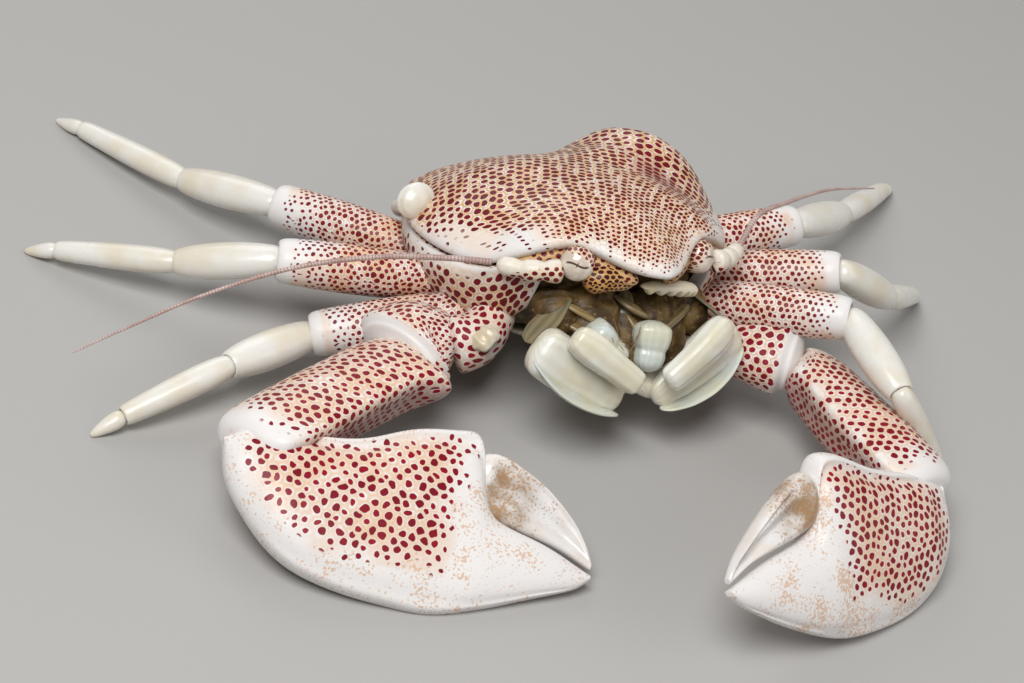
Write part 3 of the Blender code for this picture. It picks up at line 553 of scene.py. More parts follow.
colour = tint(tree, fade(tree, folds, 0.35, 0.7), (0.050, 0.026, 0.007, 1), (0.20, 0.125, 0.040, 1))
colour = tint(tree, fade(tree, dots, 0.55, 0.8), colour, (0.27, 0.18, 0.07, 1))
finish_shader(flesh, colour, linear(tree, folds, 0.3, 0.36), folds, 0.0003, 0.04, 0.15, 0.3)
trunk = draw_out("body_flesh", rings)
put_on(trunk, flesh, "thorax")


# Tail, folded forward under the body. Its stepped plates overlap like a visor, and the fan of
# five rounded flaps at its end lies under the mouth.
def along_path(points, count, table, thick):
    """Flat sections square to a path, their width read from a table along it."""
    width_axis = Vector((1, 0, 0))
    corners = 16
    line = spline(points, count)
    sections = []
    for k, p in enumerate(line):
        ahead = (line[min(k + 1, count - 1)] - line[max(k - 1, 0)]).normalized()
        top = width_axis.cross(ahead)
        end = min(1.0, min(k, count - 1 - k) / 3)
        end = (1 - (1 - end) ** 2) ** 0.5
        width = level_at(table, k / (count - 1)) * (0.72 + 0.28 * end)
        deep = thick(k) * max(0.25, end)
        sections.append([p + width_axis * width * cos(2 * pi * i / corners)
                         + top * deep * sin(2 * pi * i / corners)
                         - top * 0.8 * cos(2 * pi * i / corners) ** 2 for i in range(corners)])
    return sections


def ivory(name, light, warm, stripes=0.0, glow=0.2):
    """Plain pale shell: cream clouds over white, a hint of yellow, low relief, a wet gloss."""
    material, tree = new_finish(name)
    body = on_body(tree)
    stained = painted(tree, "stain")
    clouds = noise(tree, body, 300.0, 3.0)
    colour = tint(tree, fade(tree, clouds, 0.35, 0.68), light, warm)
    dust = laid(tree, stipple, {"Place": body, "Cover": stained})
    tan = times(tree, fade(tree, stained, 0.3, 0.85), dust["Bloom"])
    colour = tint(tree, times(tree, tan, 0.75), colour, (0.24, 0.16, 0.08, 1))
    dusty = times(tree, dust["Dust"], fade(tree, stained, 0.02, 0.3))
    colour = tint(tree, times(tree, dusty, 0.7), colour, (0.40, 0.20, 0.07, 1))
    relief = laid(tree, grain, {"Place": body, "Fine": 0.6})["Height"]
    if stripes:
        skin = on_skin(tree)
        ribs = node(tree, "TexWave", {"Vector": skin, "Scale": stripes, "Distortion": 2.0,
                                      "Detail": 2.0}, bands_direction="Y")["Fac"]
        relief = linear(tree, ribs, 0.6, relief)
        colour = tint(tree, times(tree, ribs, 0.22), colour, (0.50, 0.47, 0.33, 1))
    roughness = linear(tree, clouds, 0.2, 0.2)
    return finish_shader(material, colour, roughness, relief, glow=glow)


ivory_shell = ivory("ivory_shell", (0.74, 0.71, 0.64, 1), (0.68, 0.60, 0.46, 1))
TAIL = [(0, 13.9, -1.9), (0, 15.0, -3.4), (0, 14.0, -5.4), (0, 9.5, -7.6), (0, 3.0, -9.0)]
rings = along_path(TAIL, 37, [(0, 4.6), (0.25, 6.2), (0.5, 7.0), (0.75, 7.0), (1.0, 6.4)],
                   lambda k: 0.66 + 0.3 * abs(sin(pi * k / 6)) ** 0.6)
tail = draw_out("folded_tail", rings)
put_on(tail, ivory_shell, "abdomen")
FAN = [(0, 2.6, -9.1), (0, -1.5, -9.6), (0, -5.2, -9.6)]
rings = along_path(FAN, 12, [(0, 6.2), (0.5, 7.2), (0.85, 5.6), (1.0, 4.0)], lambda k: 0.75)
fan = draw_out("tail_fan_flaps", rings)
put_on(fan, ivory_shell, "tail_fan")


# Eyes. Each is a glossy cornea on a short spotted stalk, set in a notch of the shell's front.
# A dark slit crosses the cornea, and spotted skin closes over its back.
def tube(points, radii, count, stations, flatten=1.0, up=Vector((0, 0, 1)), ends=0.0, square=1.0):
    """Round, flattened or squared sections along a smooth path, with rounded ends."""
    path = spline(points, stations)
    total = sum((b - a).length for a, b in zip(path, path[1:]))
    table = [(i / (len(radii) - 1), r) for i, r in enumerate(radii)]
    sections = []
    for k, point in enumerate(path):
        ahead = (path[min(k + 1, stations - 1)] - path[max(k - 1, 0)]).normalized()
        side_axis = ahead.cross(up).normalized()
        top = side_axis.cross(ahead)
        radius = level_at(table, k / (stations - 1))
        if ends:
            off = min(1.0, min(k, stations - 1 - k) * total / (stations - 1) / ends)
            radius *= max(0.3, (1 - (1 - off) ** 2) ** 0.5)
        ring = []
        for i in range(count):
            across, over = cos(2 * pi * i / count), sin(2 * pi * i / count)
            across = copysign(abs(across) ** square, across)
            over = copysign(abs(over) ** square, over)
            ring.append(point + side_axis * radius * across + top * radius * flatten * over)
        sections.append(ring)
    return sections


eye_gloss, tree = new_finish("eye_gloss")
skin = on_skin(tree)
lid = painted(tree, "lid")
body = on_body(tree)
spot = node(tree, "SeparateXYZ", {0: skin})
bend = times(tree, calc(tree, "SINE", times(tree, spot["X"], 2.4)), 0.16)
slit = calc(tree, "ABSOLUTE", calc(tree, "SUBTRACT", spot["Y"], bend))
slit = times(tree, fade(tree, slit, 0.13, 0.06),
            fade(tree, calc(tree, "ABSOLUTE", spot["X"]), 1.15, 0.85))
branch = calc(tree, "ABSOLUTE", linear(tree, spot["Y"], 0.45, spot["X"]))
branch = times(tree, fade(tree, branch, 0.08, 0.03),
              fade(tree, calc(tree, "ABSOLUTE", spot["Y"]), 0.32, 0.1))
slit = calc(tree, "MAXIMUM", slit, branch)
clouds = noise(tree, body, 900.0, 3.0)
colour = tint(tree, fade(tree, clouds, 0.35, 0.65), (0.74, 0.67, 0.58, 1), (0.60, 0.50, 0.41, 1))
colour = tint(tree, slit, colour, (0.09, 0.045, 0.03, 1))
field = laid(tree, spots, {"Place": skin, "Spacing": 0.5, "Reach": 0.4, "Gap": 0.07,
                           "Strength": lid, "Wander": 0.2})
colour = tint(tree, times(tree, lid, 0.6), colour, (0.74, 0.50, 0.30, 1))
colour = tint(tree, field["Spot"], colour, (0.15, 0.008, 0.014, 1))
finish_shader(eye_gloss, colour, linear(tree, clouds, 0.1, 0.06), clouds, 0.00002, 0.8)
EYE_RADIUS = 1.42
for side, sign in SIDES.items():
    base, tip = Vector((sign * 5.0, -9.9, -0.2)), Vector((sign * 6.9, -12.9, 0.35))
    rings = tube([base, base.lerp(tip, 0.35), base.lerp(tip, 0.7), tip],
                 [EYE_RADIUS * share for share in (0.8, 0.98, 1.08, 1.1, 1.04, 1.0)], 20, 24, ends=1.1)
    pole = middle_of(rings[-1])
    away = [(ring[0] - pole).length for ring in rings]
    middle = base.lerp(tip, 0.72)
    capped = Vector((-sign * 0.7, 0.45, 0.5))
    eye = draw_out(f"eyeball_{side}", rings, rounds=1, skin=lambda k, i: (
        away[k] * cos(pi * i / 10), away[k] * sin(pi * i / 10)),
        paint=lambda k, i, p: {"lid": ramp((p - middle).dot(capped) / EYE_RADIUS, -0.12, 0.1)})
    put_on(eye, eye_gloss, f"eye_{side}")


# Eye sockets. A roll of soft tan skin closes the gap between the shell's front edge and the eyes.
# It is part of the body and runs from the middle of the front to each antenna.
brow_skin = spotted("brow_skin", 0.72, 0.34, 0.1, (0.46, 0.26, 0.09, 1), (0.16, 0.006, 0.010),
                    (0.42, 0.22, 0.07, 1), light=(0.58, 0.38, 0.18, 1))
for side, sign in SIDES.items():
    path = mirrored([(10.4, -8.5, -0.9), (8.4, -9.8, 0.0), (6.6, -10.5, 0.5), (5.0, -11.4, 0.2),
                     (3.2, -12.9, -0.5), (1.4, -14.2, -1.0)], sign)
    rings = tube(path, (0.6, 0.8, 0.9, 0.9, 0.8, 0.6), 14, 30, ends=0.7)
    brow = draw_out(f"eye_socket_{side}", rings, rounds=1, paint=lambda k, i, p: {
        "spots": 0.85 * ramp(k, 2, 5), "net": 0.3, "stain": 0.2})
    put_on(brow, brow_skin, "thorax")


# Antennae. Three short articles lie along the shell's edge, and the whip grows from the last.
# The stalk starts beside the eye, and the fine ringed whip sweeps back over the legs.
stalk_shell = spotted("stalk_shell", 0.66, 0.36, 0.1, (0.70, 0.58, 0.42, 1), (0.20, 0.005, 0.011),
                      (0.66, 0.40, 0.16, 1), light=(0.74, 0.69, 0.60, 1))
whip_skin, tree = new_finish("whip_skin")
skin = on_skin(tree)
rungs = node(tree, "TexWave", {"Vector": skin, "Scale": 1.1, "Distortion": 0.6, "Detail": 1.0})["Fac"]
patches = noise(tree, skin, 0.5, 2.0)
colour = tint(tree, fade(tree, patches, 0.35, 0.65), (0.40, 0.27, 0.24, 1), (0.55, 0.44, 0.40, 1))
colour = tint(tree, fade(tree, rungs, 0.6, 1.1), colour, (0.30, 0.17, 0.15, 1))
finish_shader(whip_skin, colour, linear(tree, patches, 0.2, 0.25), rungs, 0.00008,
              0.2, 0.3)
WHIP_RADIUS = 0.34
FLAGELLUM = {
    "right": [(-16.0, -6.6, 15.4), (-20.9, -3.8, 14.2), (-27.3, -1.3, 12.2),
              (-34.4, -0.2, 9.8), (-40.5, -0.5, 8.0), (-46.3, -1.3, 6.6)],
    "left": [(15.6, -6.6, 14.9), (19.6, -5.5, 15.0), (25.5, -4.0, 14.4), (32.5, -2.5, 12.4)],
}
for side, sign in SIDES.items():
    points = [Vector(p) for p in mirrored(
        [(7.6, -12.0, -0.4), (9.2, -11.4, -0.5), (10.8, -10.3, -0.6), (12.4, -9.0, -0.4)], sign)]
    rings = tube(points, (0.95, 1.05, 1.05, 0.98, 0.78, 0.94, 0.96, 0.92, 0.72, 0.84, 0.84, 0.76, 0.6),
                 16, 37, ends=0.5)
    stalk = draw_out(f"antenna_stalk_{side}", rings, paint=lambda k, i, p: {
        "spots": 0.95 * ramp(-sin(pi * i / 8 + 0.5), -0.7 + 0.05 * k, -0.2 + 0.045 * k),
        "net": 0.2, "stain": 0.2})
    put_on(stalk, stalk_shell, f"antenna_base_{side}")
    first = CENTRED.inverted() @ BODY @ (points[-1] + (points[-1] - points[-2]).normalized() * 0.3)
    rings = tube([first] + FLAGELLUM[side],
                 [WHIP_RADIUS * share for share in (0.9, 0.8, 0.7, 0.55, 0.4, 0.2)], 10, 60)
    whip = draw_out(f"antenna_whip_{side}", rings, CENTRED, rounds=1)
    put_on(whip, whip_skin, f"flagellum_{side}")


# Antennules. The small inner feelers lie folded across the front, between the eyes.
# The right one is orange with dark spots, and the left one is cream and scalloped below.
feeler_shell = spotted("feeler_shell", 0.50, 0.38, 0.08, (0.46, 0.24, 0.07, 1),
                       (0.05, 0.005, 0.006), (0.50, 0.24, 0.06, 1), light=(0.60, 0.38, 0.17, 1))
feeler_cream = ivory("feeler_cream", (0.72, 0.66, 0.52, 1), (0.66, 0.55, 0.36, 1))
rings = tube([(-5.6, -12.0, -1.6), (-3.8, -12.8, -1.0), (-1.2, -13.3, -1.4)],
             (0.7, 1.2, 1.25, 1.15, 0.9, 0.5), 16, 16, ends=0.5)
feeler = draw_out("inner_feeler_right", rings, paint=lambda k, i, p: {
    "spots": 1.0, "net": 1.0, "stain": 0.3})
put_on(feeler, feeler_shell, "antennule_right")
rings = tube([(6.0, -12.2, -2.8), (3.4, -13.0, -2.2), (-0.4, -13.2, -1.9)],
             (0.5, 0.9, 0.95, 0.95, 0.9, 0.8, 0.5), 16, 46, 0.7, ends=0.4)
for k, ring in enumerate(rings):
    for i, p in enumerate(ring):
        p.z += (0.5 * abs(sin(k * 0.47)) - 0.2) * ramp(sin(2 * pi * i / 16), 0.1, -0.8)
feeler = draw_out("inner_feeler_left", rings, rounds=1)
put_on(feeler, feeler_cream, "antennule_left")


# Third maxillipeds. The outer mouth arms are held open in a V: plate, arm, bar and palp.
# Each bar is folded back over its arm, and the palp stands at the foot of the V.
mouth_ivory = ivory("mouth_ivory", (0.78, 0.77, 0.71, 1), (0.71, 0.67, 0.51, 1), 0.4, glow=0.3)
mouth_blue = ivory("mouth_blue", (0.60, 0.65, 0.62, 1), (0.64, 0.63, 0.50, 1), 0.5, glow=0.35)
flap_grey = ivory("flap_grey", (0.13, 0.12, 0.075, 1), (0.20, 0.15, 0.07, 1), 0.5, glow=0.15)
MOUTH = {            # path, radii, flattening, squareness of the section, length of the round ends
    "ischium": ([(2.4, -9.5, -7.4), (2.4, -11.6, -9.8), (2.0, -13.7, -11.9)],
                (1.2, 2.0, 2.2, 1.5), 0.55, 0.9, 0.8),
    "merus": ([(1.7, -14.2, -11.9), (5.4, -13.7, -9.6), (10.3, -13.1, -6.3)],
              (1.0, 1.55, 1.85, 2.1, 2.25, 2.1), 0.62, 0.68, 0.9),
    "carpus": ([(7.9, -15.2, -4.9), (4.9, -16.0, -7.1), (1.4, -16.4, -9.6)],
               (0.95, 1.3, 1.35, 1.25, 1.15, 1.1, 1.0), 0.8, 0.66, 0.4),
    "palp": (None, (0.9, 1.15, 1.3, 1.38, 1.3, 1.5, 1.62, 1.64, 1.6, 1.4), 0.9, 0.7, 0.8),
}
PALP = {
    "right": [(1.6, -13.6, -8.6), (3.4, -13.4, -6.9), (5.3, -13.2, -5.3)],
    "left": [(0.5, -14.3, -9.2), (1.0, -13.8, -7.2), (1.35, -13.3, -4.9)],
}


def keeled(sections, rise):
    """Raise two soft keels along a tube."""
    for k, ring in enumerate(sections):
        middle = middle_of(ring)
        count = len(ring)
        wrinkle = 0.005 * sin(1.3 * k) + 0.004 * sin(3.1 * k + 1)
        sections[k] = [middle + (p - middle) * (
            1 + wrinkle + rise * max(0.0, cos(4 * pi * i / count + 0.6)) ** 8
            - 0.6 * rise * max(0.0, cos(4 * pi * i / count + 1.8)) ** 8)
            for i, p in enumerate(ring)]
    return sections


for side, sign in SIDES.items():
    for part, (points, radii, flatten, square, ends) in MOUTH.items():
        rings = tube(mirrored(points or PALP[side], sign), radii, 24, 30, flatten,
                     Vector((0, 1, 0)), ends, square)
        rings = keeled(rings, 0.16 if part == "carpus" else 0.07)
        piece = draw_out(f"mouth_arm_{part}_{side}", rings, rounds=1)
        finish = mouth_blue if part == "palp" else mouth_ivory
        put_on(piece, finish, f"maxilliped_{part}_{side}")
    for name, path, radii, stations, flatten, ends, finish, part in (
            ("plate", [(10.7, -13.5, -7.4), (8.3, -14.3, -10.1), (5.2, -14.8, -11.8),
                       (2.2, -14.9, -12.6)],
             (0.9, 1.3, 1.5, 1.3, 0.8), 16, 0.22, 0.8, mouth_blue, "merus"),
            ("flap", [(5.9, -11.0, -3.1), (8.0, -11.6, -4.5), (10.5, -12.2, -6.5)],
             (0.3, 0.8, 1.3, 1.5, 1.0), 18, 0.14, 0.6, flap_grey, "ischium")):
        rings = tube(mirrored(path, sign), radii, 16, stations, flatten, ends=ends)
        piece = draw_out(f"mouth_{name}_{side}", rings)
        put_on(piece, finish, f"maxilliped_{part}_{side}")


# Mouth floor. Soft folds of olive flesh between the roots of the mouth arms, with fine brown
# setae that stand out between the two bars.
folds = [
    [(0, -8.4, -4.0), (0.3, -10.6, -6.2), (0, -12.4, -8.4), (0, -13.2, -10.4)],
    [(-3.2, -8.6, -3.2), (-3.4, -10.8, -4.8), (-3.6, -12.2, -6.6), (-3.2, -13.0, -8.8)],
    [(3.2, -8.6, -3.6), (3.4, -10.6, -5.4), (3.8, -12.0, -7.2), (3.2, -13.0, -9.4)],
    [(-6.0, -8.8, -3.4), (-6.6, -10.2, -4.8), (-7.0, -11.8, -6.4)],
    [(6.0, -8.8, -3.8), (6.8, -10.2, -5.4), (7.2, -11.6, -7.0)],
]
for k, path in enumerate(folds):
    rings = tube(path, (2.2, 2.5, 2.3, 1.9, 1.4), 16, 18, 0.8, ends=1.2)
    for j, ring in enumerate(rings):
        middle = middle_of(ring)
        for i, p in enumerate(ring):
            lump = 0.13 * sin(1.1 * j + 2 * k) * cos(pi * i / 4 + j + k) + 0.08 * sin(2.7 * j + 0.8 * i)
            ring[i] = p + (p - middle) * lump
    put_on(draw_out(f"mouth_floor_{k}", rings, rounds=1), flesh, "thorax")
inner = [
    [(-3.6, -9.9, -3.0), (-2.6, -10.9, -4.4), (-1.4, -11.3, -5.6)],
    [(-5.4, -10.0, -3.6), (-4.6, -11.0, -5.0), (-3.4, -11.7, -6.2)],
    [(3.0, -9.9, -3.4), (2.4, -10.9, -4.9), (1.2, -11.6, -6.2)],
    [(0.2, -9.9, -3.0), (-0.2, -11.0, -4.3), (-0.4, -11.7, -5.2)],
]
for k, path in enumerate(inner):
    plate = draw_out(f"inner_mouth_plate_{k}", tube(path, (0.5, 0.8, 0.85, 0.6), 14, 14, 0.45, ends=0.6))
    put_on(plate, flap_grey, "thorax")
membrane = ivory("membrane", (0.26, 0.17, 0.06, 1), (0.13, 0.08, 0.025, 1), 0.6, glow=0.3)
for k, path in enumerate((
        [(-7.4, -10.4, -3.2), (-5.2, -11.9, -4.3), (-2.6, -12.5, -5.9), (-1.6, -12.8, -7.6)],
        [(-7.0, -10.9, -4.9), (-4.8, -12.5, -6.0), (-2.4, -13.0, -7.4)],
        [(6.8, -10.7, -4.2), (4.4, -12.2, -5.0), (2.0, -12.7, -6.4), (0.8, -12.9, -8.0)],
        [(-1.6, -10.8, -3.2), (0.0, -12.2, -4.2), (1.6, -12.2, -5.2)],
        [(-0.4, -11.4, -4.6), (0.6, -12.6, -6.4), (0.4, -13.2, -8.4)])):
    rings = tube(path, (0.3, 0.7, 0.9, 0.7, 0.3), 12, 20, 0.45, ends=0.4)
    put_on(draw_out(f"mouth_membrane_{k}", rings, rounds=1), membrane, "thorax")
bristle, tree = new_finish("bristle")
body = on_body(tree)
shade = noise(tree, body, 1500.0, 2.0)
colour = tint(tree, shade, (0.10, 0.05, 0.015, 1), (0.42, 0.26, 0.10, 1))
finish_shader(bristle, colour, linear(tree, shade, 0.2, 0.3), shade)
BRISTLES = 26
GOLDEN_TURN = 2.399
for k in range(BRISTLES):
    turn = k * GOLDEN_TURN
    start = Vector((-2.0 + 1.2 * sin(turn), -13.6 + 0.3 * cos(turn), -7.7 + 0.9 * cos(1.7 * turn)))
    end = start + Vector((-0.9 + 1.1 * sin(2.3 * turn), -0.5 + 0.5 * cos(turn),
                          1.7 + 0.7 * cos(3.1 * turn)))
    bow = start.lerp(end, 0.5) + Vector((0.2 * sin(5 * turn), -0.25, 0.15))
    rings = tube([start, bow, end], (0.06, 0.05, 0.035, 0.015), 5, 6)
    hair = draw_out(f"mouth_bristle_{k}", rings, rounds=0)
    put_on(hair, bristle, "maxilliped_palp_right")


# Walking legs. Each has four tubes of shell that slot into each other: a thick spotted merus,
# then carpus, propodus and a short clawed dactyl in plain ivory.
LEG_LENGTHS = {
    "front": (17.2, 8.9, 9.9, 3.1),
    "middle": (17.9, 9.1, 11.3, 3.2),
    "rear": (18.5, 10.3, 12.9, 3.4),
}
LEG_ROOTS = {"front": (8.2, -4.6, -5.9), "middle": (8.8, -0.6, -5.3), "rear": (8.2, 3.4, -4.9)}
LEG_POSE = {         # heading and rise of the merus and carpus, heading of the propodus
    ("front", "right"): ((161, -16), (-165, 1), -173),
    ("middle", "right"): ((155, -1), (143, -20), 138),
    ("rear", "right"): ((132, -4), (121, -16), 116),
    ("front", "left"): ((-46, 15.5), (-92, -7), -17),
    ("middle", "left"): ((-38, 19.6), (6, -33), 31),
    ("rear", "left"): ((-7, 8), (23, -17), 31),
}
LEG_SHAPES = {       # share of the length, half width, half depth
    "merus": [(0.0, 0.3, 0.3), (0.0, 1.2, 1.2), (0.15, 1.6, 1.6), (0.38, 2.3, 2.2),
              (0.68, 2.35, 2.25), (0.88, 2.15, 2.1), (0.95, 2.12, 2.02), (0.98, 1.98, 1.88),
              (0.998, 1.72, 1.62), (0.99, 1.5, 1.4), (0.93, 1.35, 1.3), (0.92, 0.3, 0.3)],
    "carpus": [(-0.1, 0.1, 0.1), (-0.1, 0.5, 0.5), (-0.06, 1.25, 1.1), (0.08, 1.6, 1.4),
               (0.4, 1.9, 1.65), (0.75, 1.8, 1.55), (0.94, 1.4, 1.25), (1.0, 1.2, 1.1),
               (1.0, 1.0, 0.9), (0.94, 0.8, 0.7), (0.93, 0.2, 0.2)],
    "propodus": [(-0.07, 0.1, 0.1), (-0.07, 0.4, 0.4), (-0.04, 0.95, 0.9), (0.1, 1.3, 1.15),
                 (0.4, 1.35, 1.2), (0.8, 1.1, 1.0), (0.95, 0.98, 0.92), (1.0, 0.85, 0.8),
                 (1.0, 0.7, 0.65), (0.96, 0.55, 0.5), (0.955, 0.1, 0.1)],
    "dactyl": [(-0.1, 0.1, 0.1), (-0.08, 0.4, 0.4), (0.05, 0.75, 0.7), (0.3, 0.85, 0.75),
               (0.7, 0.55, 0.5), (0.92, 0.32, 0.3), (0.995, 0.13, 0.13), (1.0, 0.03, 0.03)],
}
DACTYL_BEND = 8.0


def segment_frame(start, heading, rise, roll=0.0):
    """A frame at start whose X axis runs along the segment and whose Z axis is its top."""
    return (Matrix.Translation(start) @ Matrix.Rotation(radians(heading), 4, "Z")
            @ Matrix.Rotation(radians(-rise), 4, "Y") @ Matrix.Rotation(radians(roll), 4, "X"))


def ovals(length, shape, count=16, mirror=1):
    """Oval sections along X from rows of length share, half width, half depth and shift."""
    sections = []
    for row in shape:
        shift = row[3] if len(row) > 3 else 0.0
        sections.append([Vector((row[0] * length,
                                 mirror * (shift + row[1] * cos(2 * pi * (i + 0.5) / count)),
                                 row[2] * sin(2 * pi * (i + 0.5) / count)))
                         for i in range(count)])
    return sections


def rise_to_floor(height, propodus, dactyl):
    """The propodus's rise that brings the tip of the bent dactyl down to the floor."""
    low, high = -80.0, 20.0
    for _ in range(30):
        rise = (low + high) / 2
        tip = height + propodus * sin(radians(rise)) + dactyl * sin(radians(rise - DACTYL_BEND))
        level = 0.16 * cos(radians(rise - DACTYL_BEND)) - 0.04
        low, high = (rise, high) if tip < level else (low, rise)
    return rise


def leg_paint(part, length):
    """Spots over the merus but for its white end, and brown dust at the dactyl's tip."""
    if part == "merus":
        return lambda k, i, p: {"spots": ramp(p.x / length, 0.93, 0.83),
                                "net": ramp(p.x / length, 0.88, 0.80), "stain": 0.12}
    if part == "dactyl":
        return lambda k, i, p: {"stain": 0.5 * ramp(p.x / length, 0.7, 1.0)}
    return None


leg_spotted = spotted("leg_spotted", 0.60, 0.34, 0.09, (0.72, 0.54, 0.42, 1),
                      (0.26, 0.008, 0.014), (0.66, 0.34, 0.12, 1))
leg_ivory = ivory("leg_ivory", (0.75, 0.73, 0.68, 1), (0.70, 0.64, 0.52, 1))
for (row, side), pose in LEG_POSE.items():
    root = LEG_ROOTS[row]
    point = CENTRED.inverted() @ BODY @ Vector((SIDES[side] * root[0], root[1], root[2]))
    lengths = dict(zip(LEG_SHAPES, LEG_LENGTHS[row]))
    for part, length in lengths.items():
        if part in ("merus", "carpus"):
            heading, rise = pose[0] if part == "merus" else pose[1]
        elif part == "propodus":
            heading, rise = pose[2], rise_to_floor(point.z, length, lengths["dactyl"])
        else:
            rise -= DACTYL_BEND
        place = segment_frame(point, heading, rise)
        piece = draw_out(f"{row}_leg_{part}_{side}", ovals(length, LEG_SHAPES[part]),
                         CENTRED @ place, paint=leg_paint(part, length))
        if part == "dactyl":
            set_down(piece)
        finish, slot = (leg_spotted, "spotted_shell") if part == "merus" else (leg_ivory, "white_shell")
        put_on(piece, finish, f"leg_{row}_{side}_{part}")
        point = place @ Vector((length, 0, 0))


# Small last legs. They are folded forwards along the shell and end in a pale cleaning brush.
# Each comes out from behind the last walking leg, thin and jointed, and leans on the shell.
SMALL_LEG = {
    "right": [(5.2, 12.0, -3.6), (8.6, 13.4, -2.8), (11.5, 10.2, -1.3), (13.0, 6.6, 0.0),
              (13.7, 4.2, 1.1), (14.1, 2.1, 1.8)],
    "left": [(5.2, 12.0, -3.6), (8.8, 15.8, -1.6), (12.6, 14.2, -0.6), (15.0, 11.4, -0.1),
             (16.0, 8.4, 0.2), (16.0, 5.8, 0.4)],
}
BRUSH = 12           # sections at the leg's end that are lumpy
for side, sign in SIDES.items():
    rings = tube(mirrored(SMALL_LEG[side], sign),
                 (0.6, 0.8, 0.85, 0.5, 0.75, 0.85, 0.8, 0.5, 0.7, 0.8, 0.75, 0.55, 1.0, 1.6, 1.7, 1.5),
                 14, 61, ends=1.4)
    for k, ring in enumerate(rings[-BRUSH:]):
        middle = middle_of(ring)
        for i, p in enumerate(ring):
            lump = 0.09 * sin(1.5 * k) * cos(pi * i / 7) - 0.06 * sin(2 * pi * i / 7)
            ring[i] = p + (p - middle) * lump
    small = draw_out(f"brush_leg_{side}", rings)
    put_on(small, leg_ivory, f"leg_small_{side}")


# Claw legs. A short root segment, a collared merus and a broad flat carpus carry each claw.
# The carpus has a toothed upper edge, a tooth near its root and a knuckle before the palm.
PINK_CREAM = (0.74, 0.63, 0.55, 1)
CRIMSON = (0.29, 0.004, 0.016)
NET_TAN = (0.66, 0.38, 0.18, 1)
ARM_SKINS = {(part, side): spotted(f"{name}_{side}", spacing, reach, gap, PINK_CREAM, CRIMSON,
                                   NET_TAN, *more)
             for part, name, side, spacing, reach, gap, more in (
                 ("merus", "arm", "right", 0.64, 0.33, 0.1, ()),
                 ("merus", "arm", "left", 0.92, 0.33, 0.1, ()),
                 ("carpus", "carpus", "right", 0.86, 0.32, 0.1, (0.45, 0.7, 0.26)),
                 ("carpus", "carpus", "left", 0.80, 0.34, 0.1, (0.45, 0.7, 0.26)),
                 ("palm", "palm", "right", 0.94, 0.31, 0.1, (0.6, 0.62, 0.3)),
                 ("palm", "palm", "left", 0.84, 0.33, 0.09, (0.5, 0.62, 0.3)))}
ARM_JOINTS = {
    "right": {"ischium": [(-12.5, -8.3, 7.6), (-15.0, -8.0, 6.7)],
              "merus": [(-14.4, -8.1, 6.8), (-17.4, -7.0, 6.6), (-20.0, -8.0, 6.1)],
              "carpus": [(-19.3, -8.0, 5.7), (-36.7, -15.6, 6.28)]},
    "left": {"ischium": [(8.0, -11.6, 6.3), (10.6, -13.1, 5.7)],
             "merus": [(10.2, -12.9, 5.8), (13.0, -15.2, 6.6), (15.8, -17.9, 7.0)],
             "carpus": [(15.7, -18.3, 6.5), (17.63, -35.09, 6.07)]},
}
ARM_MERUS_RADII = {
    "right": (2.9, 3.3, 3.7, 4.1, 4.5, 4.7, 4.7, 4.1, 3.4),
    "left": (2.4, 2.8, 3.2, 3.6, 3.9, 4.1, 4.1, 3.5, 2.9),
}
CARPUS_SHAPE = [     # share of the length, half width, half depth, shift to the inner side
    (-0.055, 0.2, 0.2, 0.0), (-0.05, 1.0, 1.0, 0.0), (-0.02, 2.6, 2.2, 0.2), (0.1, 4.4, 2.8, 0.6),
    (0.3, 4.4, 3.0, 0.3), (0.65, 4.4, 3.0, -0.1), (0.9, 4.2, 2.7, -0.4),
    (0.98, 3.3, 2.1, -0.4), (1.0, 2.0, 1.2, -0.3), (1.0, 0.3, 0.2, -0.3),
]
EDGE_TURN = radians(30)  # where the toothed edge runs, from the inner side up
EDGE_TEETH = 5.5


def collared(sections):
    """Raise a double ridge round the far end, where the next segment turns against it."""
    last = len(sections) - 1
    for k, ring in enumerate(sections):
        share = k / last
        swell = (1 + 0.06 * bump(share - 0.76, 0.05) - 0.055 * bump(share - 0.845, 0.016)
                 + 0.03 * bump(share - 0.885, 0.02) - 0.06 * bump(share - 0.93, 0.018))
        middle = middle_of(ring)
        sections[k] = [middle + (p - middle) * swell for p in ring]
    return sections


def edged(sections, mirror, length):
    """Give the carpus its inner tooth, its toothed upper edge and the knuckle at its end."""
    count = len(sections[0])
    for ring in sections:
        for i, p in enumerate(ring):
            share = p.x / length
            angle = 2 * pi * (i + 0.5) / count
            off = (angle - EDGE_TURN + pi) % (2 * pi) - pi
            edge = bump(off, 0.24) * ramp(share, 0.02, 0.15) * ramp(share, 1.0, 0.9)
            teeth = 0.5 + 0.5 * abs(sin(EDGE_TEETH * pi * share))
            tooth = bump(share - 0.075, 0.045) * bump((angle + pi) % (2 * pi) - pi, 0.7)
            knuckle = bump(share - 0.93, 0.06) * bump(off + 1.0, 0.8)
            under = bump(off + 0.8, 0.45) * ramp(share, 0.05, 0.2) * ramp(share, 0.95, 0.8)
            slim = 1.9 * (mirror < 0) * bump(share - 0.04, 0.24) * ramp(cos(angle), 0.0, 0.8)
            tooth *= 1.5 if mirror > 0 else 0.3
            p.y += mirror * (0.9 * edge * teeth * cos(angle) - 0.8 * under + 1.15 * tooth
                             - 0.5 * knuckle - slim)
            p.z += 0.42 * edge * teeth + 0.25 * knuckle
            p.x -= 0.5 * tooth
    return sections


def thicker(shape, stations):
    """More sections between the named ones, on a smooth curve."""
    fine = spline([(row[0], row[1], row[2]) for row in shape], stations)
    shifts = [(row[0], row[3]) for row in shape]
    return [(p.x, p.y, p.z, level_at(shifts, p.x)) for p in fine]


